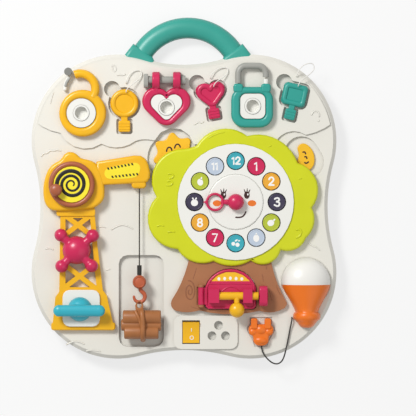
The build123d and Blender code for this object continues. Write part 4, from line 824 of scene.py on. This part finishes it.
knot = {"centre": (5.8, -107.8), "outer": 6.4, "inner": 1.0, "start": 100, "turns": 1.9, "stretch": (0.95, 1.75)}
knotRoute = []
for step in range(41):
    x, y = polar((0, 0), between(knot["outer"], knot["inner"], step / 40),
                 knot["start"] - 360 * knot["turns"] * step / 40)
    knotRoute.append((knot["centre"][0] + x * knot["stretch"][0], knot["centre"][1] + y * knot["stretch"][1]))
grain = [[(262.2, 274.0), (262.6, 277.6), (263.4, 281.2)], [(269.6, 291), (270.2, 296), (272.0, 300.4)],
         [(196.4, 268), (194.6, 274), (193.0, 279)], [(276, 285), (277.6, 290.4), (280.4, 295)],
         [(191, 306.4), (197, 309), (203.4, 309.6)], [(266, 264.6), (266.4, 269)]]
trunkTop = 26.5
parts = [tube(knotRoute, 1.3, 0.5, trunkTop)]
parts += [tube(spots(*route), 1.2, 0.5, trunkTop, widths=[0.5, 1.3, 0.5]) for route in grain]
place(joined(parts), "bark_relief", "board", "barkDark")

door = {"left": 22.3, "right": 75.6, "low": -126.6, "spring": -103.5, "top": -84.4, "face": 29.0, "inset": 1.5,
        "corner": 3.5}
window = arcPoints((27.9, -97.5), (48.7, -87.4), (69.5, -97.5), 24) + [(69.5, -97.5)]
place(flatShape([window], 27.9, 28.8, 0.2), "door_window", "door", "sunYellow")
parts = [flatShape([ovalPoints((48.7 + step * 6.0, -94.2 - abs(step) * 0.35), 3.0, 3.6)], 28.7, door["face"])
         for step in (-2, -1, 0, 1, 2)]
place(joined(parts), "window_beads", "door", "inkWhite")
left, right = door["left"] + door["inset"], door["right"] - door["inset"]
crest = ((left + right) / 2, door["top"] - door["inset"])
rim = arcPoints((left, door["spring"]), crest, (right, door["spring"]), 24)
rim += [(right, door["low"] + door["corner"]), (door["right"] - door["corner"], door["low"] + door["inset"]),
        (door["left"] + door["corner"], door["low"] + door["inset"]), (left, door["low"] + door["corner"])]
brow = spots((221.6, 291.2), (226, 287.4), (231.4, 286.2), (236.6, 287.6), (240.4, 291))
sill = spots((209.6, 283.6), (230, 283.2), (250.6, 283.6))
parts = [tube(rim, 2.4, 0.7, door["face"], closed=True, soft=False), tube(brow, 1.5, 0.8, door["face"]),
         tube(sill, 1.4, 0.7, door["face"])]
place(joined(parts), "door_relief", "door", "magenta")

bolt = {"y": -112.6, "z": 34.2, "knob": (55.3, -127.2, 36.9)}
parts = [tube([(32.0, bolt["y"], bolt["z"]), (77.9, bolt["y"], bolt["z"])], 8.4, soft=False, capped=False),
         tube([(55.3, bolt["y"], bolt["z"] + 0.4), (55.3, -121.0, 35.8), bolt["knob"]], 5.3, capped=False,
              widths=[7.0, 5.2, 5.6]), ball(bolt["knob"], 8.0, (1, 1, 0.9))]
standIn(joined(parts), "bolt_and_ball", "yellow", "slide_bolt")
print("door")

keeper = {"x": 83.2, "width": 9.0, "y": -112.6, "low": 26.6, "top": 40.4, "tall": 21.4, "bore": (34.2, 4.8)}
outline = boxPoints((-(keeper["low"] + keeper["top"]) / 2, keeper["y"]), keeper["top"] - keeper["low"],
                    keeper["tall"], 5.2)
bore = circlePoints((-keeper["bore"][0], keeper["y"]), keeper["bore"][1], 36)
block = sidewaysShape([outline, bore], keeper["x"], keeper["width"], 1.6)
standIn(block, "keeper_block", "magenta", "latch_brackets")

# switch, plug and lamp

ring = {"centre": (8.2, -156.9), "radius": 1.9, "z": 23.62, "slope": 0.14}
circle = [(x, y, ring["z"] - ring["slope"] * (y - ring["centre"][1]) / ring["radius"])
          for x, y in circlePoints(ring["centre"], ring["radius"], 16)]
parts = [tube([(7.9, -150.1, 23.66), (7.9, -147.4, 24.56)], 0.9, soft=False), tube(circle, 0.8, closed=True)]
place(joined(parts), "switch_marks", "switch", "inkWhite")

plug = {"x": 80.9, "low": 20.7, "top": 28.2, "prongX": 7.2, "prongTop": 29.6,
        "half": [(2.6, -142.6), (8.6, -142.2), (12.4, -144.6), (13.5, -148.2), (12.4, -151.6), (8.6, -155.0),
                 (8.2, -157.4), (8.0, -160.8), (6.0, -164.0), (3.0, -165.3)]}
parts = [flatShape([mirrored(plug["half"], plug["x"])], plug["low"], plug["top"], 2.4, soft=True)]
for side in (-1, 1):
    prong = boxPoints((plug["x"] + side * plug["prongX"], -142.0), 7.0, 11.4, 1.8)
    parts.append(flatShape([prong], 20.8, plug["prongTop"], 1.5))
    parts.append(ball((plug["x"] + side * 8.2, -150.6, 26.4), 4.6, (1.0, 0.9, 0.62)))
parts.append(ball((plug["x"], -148.6, 26.0), 6.4, (1.0, 0.85, 0.6)))
parts.append(ball((plug["x"], -159.6, 24.8), 8.4, (0.98, 0.6, 0.62)))
standIn(joined(parts), "plug_body", "orange", "plug")


def halfShell(stations, low, around=28):
    # a skin over half ovals: how far up the board, middle, half width and rise of each
    points, faces = [], []
    for y, middle, half, rise in stations:
        points += [((middle - half * cos(pi * step / around)) * mm, y * mm,
                    (low + rise * sin(pi * step / around)) * mm) for step in range(around + 1)]
    for row in range(len(stations) - 1):
        for step in range(around):
            first = row * (around + 1) + step
            faces.append((first, first + 1, first + around + 2, first + around + 1))
    mesh = bpy.data.meshes.new("shell")
    mesh.from_pydata(points, [], faces)
    piece = addPiece("shell", mesh)
    startEdit(piece)
    bpy.ops.mesh.remove_doubles(threshold=0.00001)
    bpy.ops.mesh.select_all(action="DESELECT")
    bpy.ops.mesh.select_non_manifold()
    bpy.ops.mesh.edge_face_add()
    bpy.ops.mesh.select_all(action="SELECT")
    bpy.ops.mesh.normals_make_consistent(inside=False)
    endEdit()
    return smoothShade(piece, 50)


lamp = {"centre": (128.3, -98.4), "radius": 25.8, "split": -101.0, "rise": 0.775}
globeRows = []
top = lamp["centre"][1] + lamp["radius"]
for step in range(19):
    y = lamp["split"] + (top - lamp["split"]) * sin(pi / 2 * step / 18)
    half = sqrt(max(0.0004, lamp["radius"] ** 2 - (y - lamp["centre"][1]) ** 2))
    globeRows.append((y, lamp["centre"][0], half, half * lamp["rise"]))
standIn(halfShell(globeRows, faceZ), "lamp_globe_dome", "globe", "lamp_globe")
stemRows = [(-101.0, 128.3, 25.6, 19.8), (-104.5, 128.5, 24.8, 19.0), (-108.5, 128.7, 22.9, 18.2),
            (-112.8, 128.9, 20.6, 17.4), (-117.1, 129.1, 18.1, 16.6), (-121.4, 129.1, 15.7, 15.8),
            (-125.7, 129.1, 13.5, 15.0), (-129.8, 129.1, 12.0, 14.4),
            (-130.8, 129.1, 13.0, 15.2), (-132.6, 129.1, 14.2, 16.0),
            (-135.0, 129.1, 14.5, 16.2), (-137.4, 129.1, 13.9, 15.6), (-139.2, 129.1, 11.4, 13.6),
            (-141.6, 129.1, 9.4, 12.4), (-144.4, 129.1, 7.6, 10.6), (-146.2, 129.1, 4.6, 7.0)]
standIn(halfShell(stemRows, faceZ), "lamp_base_body", "orange", "lamp_base")
outline = tube(circlePoints(lamp["centre"], 26.3, 60), 0.9, 0.8, 22.1, closed=True)
place(outline, "lamp_ring", "board", "shell")
print("lamp")

# reliefs moulded into the board

relief = {
    # height: routes and widths
    cloudZ: [([(112.2, 66.2), (113.4, 64.8), (115.6, 66.2), (116.4, 69.4), (115.0, 72.0), (112.8, 70.8),
             (112.2, 66.2)], 1.2),
           ([(117.4, 75.2), (120, 74.6), (122, 75.6), (125, 74.4)], 1.5),
           ([(194.6, 124.6), (198, 121.6), (201.4, 123.4), (203.4, 121.8)], 1.3),
           ([(311.6, 114.6), (312.6, 111.6), (316.4, 110.8), (319.4, 113.4), (319.0, 116.4)], 1.5),
           ([(318, 121), (319, 120.6)], 1.3), ([(53.6, 92.6), (51.6, 97.4), (50.6, 103)], 1.1)],
    faceZ: [([(41.6, 156), (43.4, 153), (47, 153.6), (50, 150.2), (54.6, 151), (57.4, 149.4), (60.6, 151)], 1.5),
           ([(97.4, 228), (101, 225.4), (105.4, 227.4)], 1.3),
           ([(111.6, 229.4), (118, 225.2), (126, 224.8), (132.4, 228.6)], 1.4),
           ([(309.4, 243.6), (312, 246.6), (316, 246.2), (319.4, 250)], 1.3),
           ([(66.6, 344.4), (72, 341.6), (78.4, 341), (84, 344)], 1.5),
           ([(86.6, 351), (93, 349.4), (100, 351.4)], 1.4),
           ([(46, 249), (49.6, 247.4), (53, 249.6)], 1.3), ([(106.6, 270), (109.6, 269)], 1.3)]}
parts = []
for height, rows in relief.items():
    parts += [tube(spots(*route), width * 1.2, 0.9, height) for route, width in rows]
place(joined(parts), "board_relief", "board", "shell")
print("reliefs")


# cords

keyTop = 28.2
keyString = {"width": 1.0, "finish": "tether", "stiffness": "limp"}
cords = {
    "round_key_loop": {
        "route": [(-61, 110.5, 24), (-61, 110.5, 26.3), (-60.4, 114.4, 27.4), (-57.6, 119.8, 26.4),
                  (-52.2, 124, 25.6), (-45.6, 124.6, 25.4), (-43.6, 118.6, 25.4), (-49.5, 112.8, 27.6),
                  (-55.4, 108.6, 30.4), (-59.2, 105.2, 31.5), (-60.7, 102.4, 30.8), (-60.8, 101, 29.9),
                  (-60.8, 101, keyTop)],
        "ends": ("board", "round_key"), "length": 58.2, **keyString},
    "heart_key_loop": {
        "route": [(27.6, 115.6, 24), (27.6, 115.6, 26.3), (28.6, 119.2, 27.4), (32.2, 123.8, 26.4),
                  (38.4, 127, 25.8), (45.4, 127.4, 25.4), (46.8, 121.8, 25.4), (41.2, 116.8, 27.6),
                  (35.4, 113.0, 30.4), (32.4, 110.2, 31.4), (31.3, 108.2, 30.8), (31.2, 106.8, 29.9),
                  (31.2, 106.8, keyTop)],
        "ends": ("board", "heart_key"), "length": 54.9, **keyString},
    "square_key_loop": {
        "route": [(118.2, 117.6, 24), (118.2, 117.6, 26.2), (119.2, 121.6, 27.3), (122.6, 127.2, 26.6),
                  (128.6, 131.4, 24.8), (136, 131.8, 21.8), (137.6, 125.6, 21.3), (132.2, 120, 25.2),
                  (126, 115.8, 29.4), (122, 112.2, 31.4), (120.1, 108.8, 30.8), (119.8, 107.4, 29.9),
                  (119.8, 107.4, keyTop)],
        "ends": ("board", "square_key"), "length": 62.9, **keyString},
    "plug_cord": {
        "route": [(81.6, -165.4, 23.6), (81.8, -170.2, 23.6), (84.6, -175.4, 23.6), (88.6, -180.2, 23.2),
                  (93.6, -184, 22.2), (99, -184.8, 21.6), (103.4, -181.4, 22.4), (105.8, -175.2, 23.6),
                  (107.6, -167.2, 23.7), (109.6, -158, 23.7), (111.2, -149, 23.8), (112.6, -142.2, 25),
                  (113.3, -137.9, 25.8), (113.4, -135.8, 24.2), (113.4, -135.8, 22)],
        "ends": ("plug", "board"), "width": 1.5, "length": 83.3, "finish": "lead", "stiffness": "medium"},
}


def centreLine(piece):
    # the points that the cord's own smooth line runs through
    depth = piece.data.bevel_depth
    piece.data.bevel_depth = 0
    bpy.context.view_layer.update()
    line = bpy.data.meshes.new_from_object(piece.evaluated_get(bpy.context.evaluated_depsgraph_get()))
    points = [vertex.co.copy() for vertex in line.vertices]
    bpy.data.meshes.remove(line)
    piece.data.bevel_depth = depth
    return points


for cordName, cord in cords.items():
    curve = curveOf([cord["route"]], "3D", False, True, 6)
    curve.bevel_depth = cord["width"] / 2 * mm
    curve.bevel_resolution = 3
    curve.use_fill_caps = True
    piece = addPiece(cordName + "_line", curve)
    path = centreLine(piece)
    piece = meshed(piece)
    for polygon in piece.data.polygons:
        polygon.use_smooth = True
    piece.data.materials.clear()
    piece.data.materials.append(paint[cord["finish"]])
    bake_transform(piece)
    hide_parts(cordName)
print("cords:", len(cords))

# the crane's string, a straight drop from the spool to the crimp
craneString = {"x": -46.8, "z": 29.6, "spoolY": 17.2, "crimpY": -80.5, "width": 1.3, "lift": 54.0}
bpy.ops.mesh.primitive_cylinder_add(
    vertices=12, radius=craneString["width"] / 2 * mm,
    depth=(craneString["spoolY"] - craneString["crimpY"]) * mm, rotation=(pi / 2, 0, 0),
    location=(craneString["x"] * mm, (craneString["spoolY"] + craneString["crimpY"]) / 2 * mm, craneString["z"] * mm))
hangingString = applyAll(bpy.context.object)
smoothShade(hangingString, 60)
dress(hangingString, "crane_string_drop", "board", paint["string"])
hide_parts("crane_string")
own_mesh(hangingString)


# studio

studio = {"centre": (0.0, 0.0), "distance": 3.0, "widthAcross": 437.6, "faceHeight": 22,
          "shift": (0.0577, -0.0469)}
white = (1, 1, 1, 1)


def paleGround(name):
    # a pale floor that shows white to the camera and keeps the soft shadow
    material = bpy.data.materials.new(name)
    material.use_nodes = True
    nodes, link = material.node_tree.nodes, material.node_tree.links.new
    nodes.clear()
    diffuse = addNode(nodes, "BsdfDiffuse", {"Color": (0.86, 0.86, 0.85, 1)})
    glow = addNode(nodes, "Emission", {"Color": white})
    both = addNode(nodes, "MixShader", {"Fac": 0.72})
    link(diffuse.outputs["BSDF"], both.inputs[1])
    link(glow.outputs["Emission"], both.inputs[2])
    rays, seen, bounced = addNode(nodes, "LightPath"), addNode(nodes, "Math"), addNode(nodes, "Math")
    seen.operation = bounced.operation = "MAXIMUM"
    link(rays.outputs["Is Glossy Ray"], bounced.inputs[0])
    link(rays.outputs["Is Transmission Ray"], bounced.inputs[1])
    link(rays.outputs["Is Camera Ray"], seen.inputs[0])
    link(bounced.outputs[0], seen.inputs[1])
    choice = addNode(nodes, "MixShader")
    link(seen.outputs[0], choice.inputs["Fac"])
    link(diffuse.outputs["BSDF"], choice.inputs[1])
    link(both.outputs["Shader"], choice.inputs[2])
    link(choice.outputs["Shader"], addNode(nodes, "OutputMaterial").inputs["Surface"])
    return material


bpy.ops.mesh.primitive_plane_add(size=12, location=(0, 0, 0))
floor = bpy.context.object
floor.name = "floor"
floor.data.materials.append(paleGround("pale_floor"))

world = bpy.data.worlds.new("studio")
scene.world = world
world.use_nodes = True
worldNodes, worldLink = world.node_tree.nodes, world.node_tree.links.new
worldNodes.clear()
sky = addNode(worldNodes, "Background", {"Color": white, "Strength": 0.4})
backdrop = addNode(worldNodes, "Background", {"Color": white, "Strength": 1})
skySwitch = addNode(worldNodes, "MixShader")
worldLink(addNode(worldNodes, "LightPath").outputs["Is Camera Ray"], skySwitch.inputs["Fac"])
worldLink(sky.outputs["Background"], skySwitch.inputs[1])
worldLink(backdrop.outputs["Background"], skySwitch.inputs[2])
worldLink(skySwitch.outputs["Shader"], addNode(worldNodes, "OutputWorld").inputs["Surface"])

lamps = {
    # name: place, size, watts; all aim at the middle of the board
    "key_light": ((-0.8, 0.85, 1.3), 0.45, 21),
    "fill_light": ((0.9, -0.4, 1.3), 1.4, 3),
}
for lampName, (at, size, watts) in lamps.items():
    light = bpy.data.lights.new(lampName, "AREA")
    light.size = size
    light.energy = watts
    lampObject = addPiece(lampName, light)
    lampObject.location = at
    lampObject.rotation_euler = (-Vector(at)).to_track_quat("-Z", "Y").to_euler()

camera = bpy.data.cameras.new("camera")
cameraObject = addPiece("camera", camera)
cameraObject.location = (studio["centre"][0], studio["centre"][1], studio["distance"])
camera.sensor_width = 36
camera.lens = 36 * (studio["distance"] - studio["faceHeight"] * mm) / (studio["widthAcross"] * mm)
camera.shift_x, camera.shift_y = studio["shift"]
scene.camera = cameraObject
scene.view_settings.view_transform = "Standard"
print("studio ready")
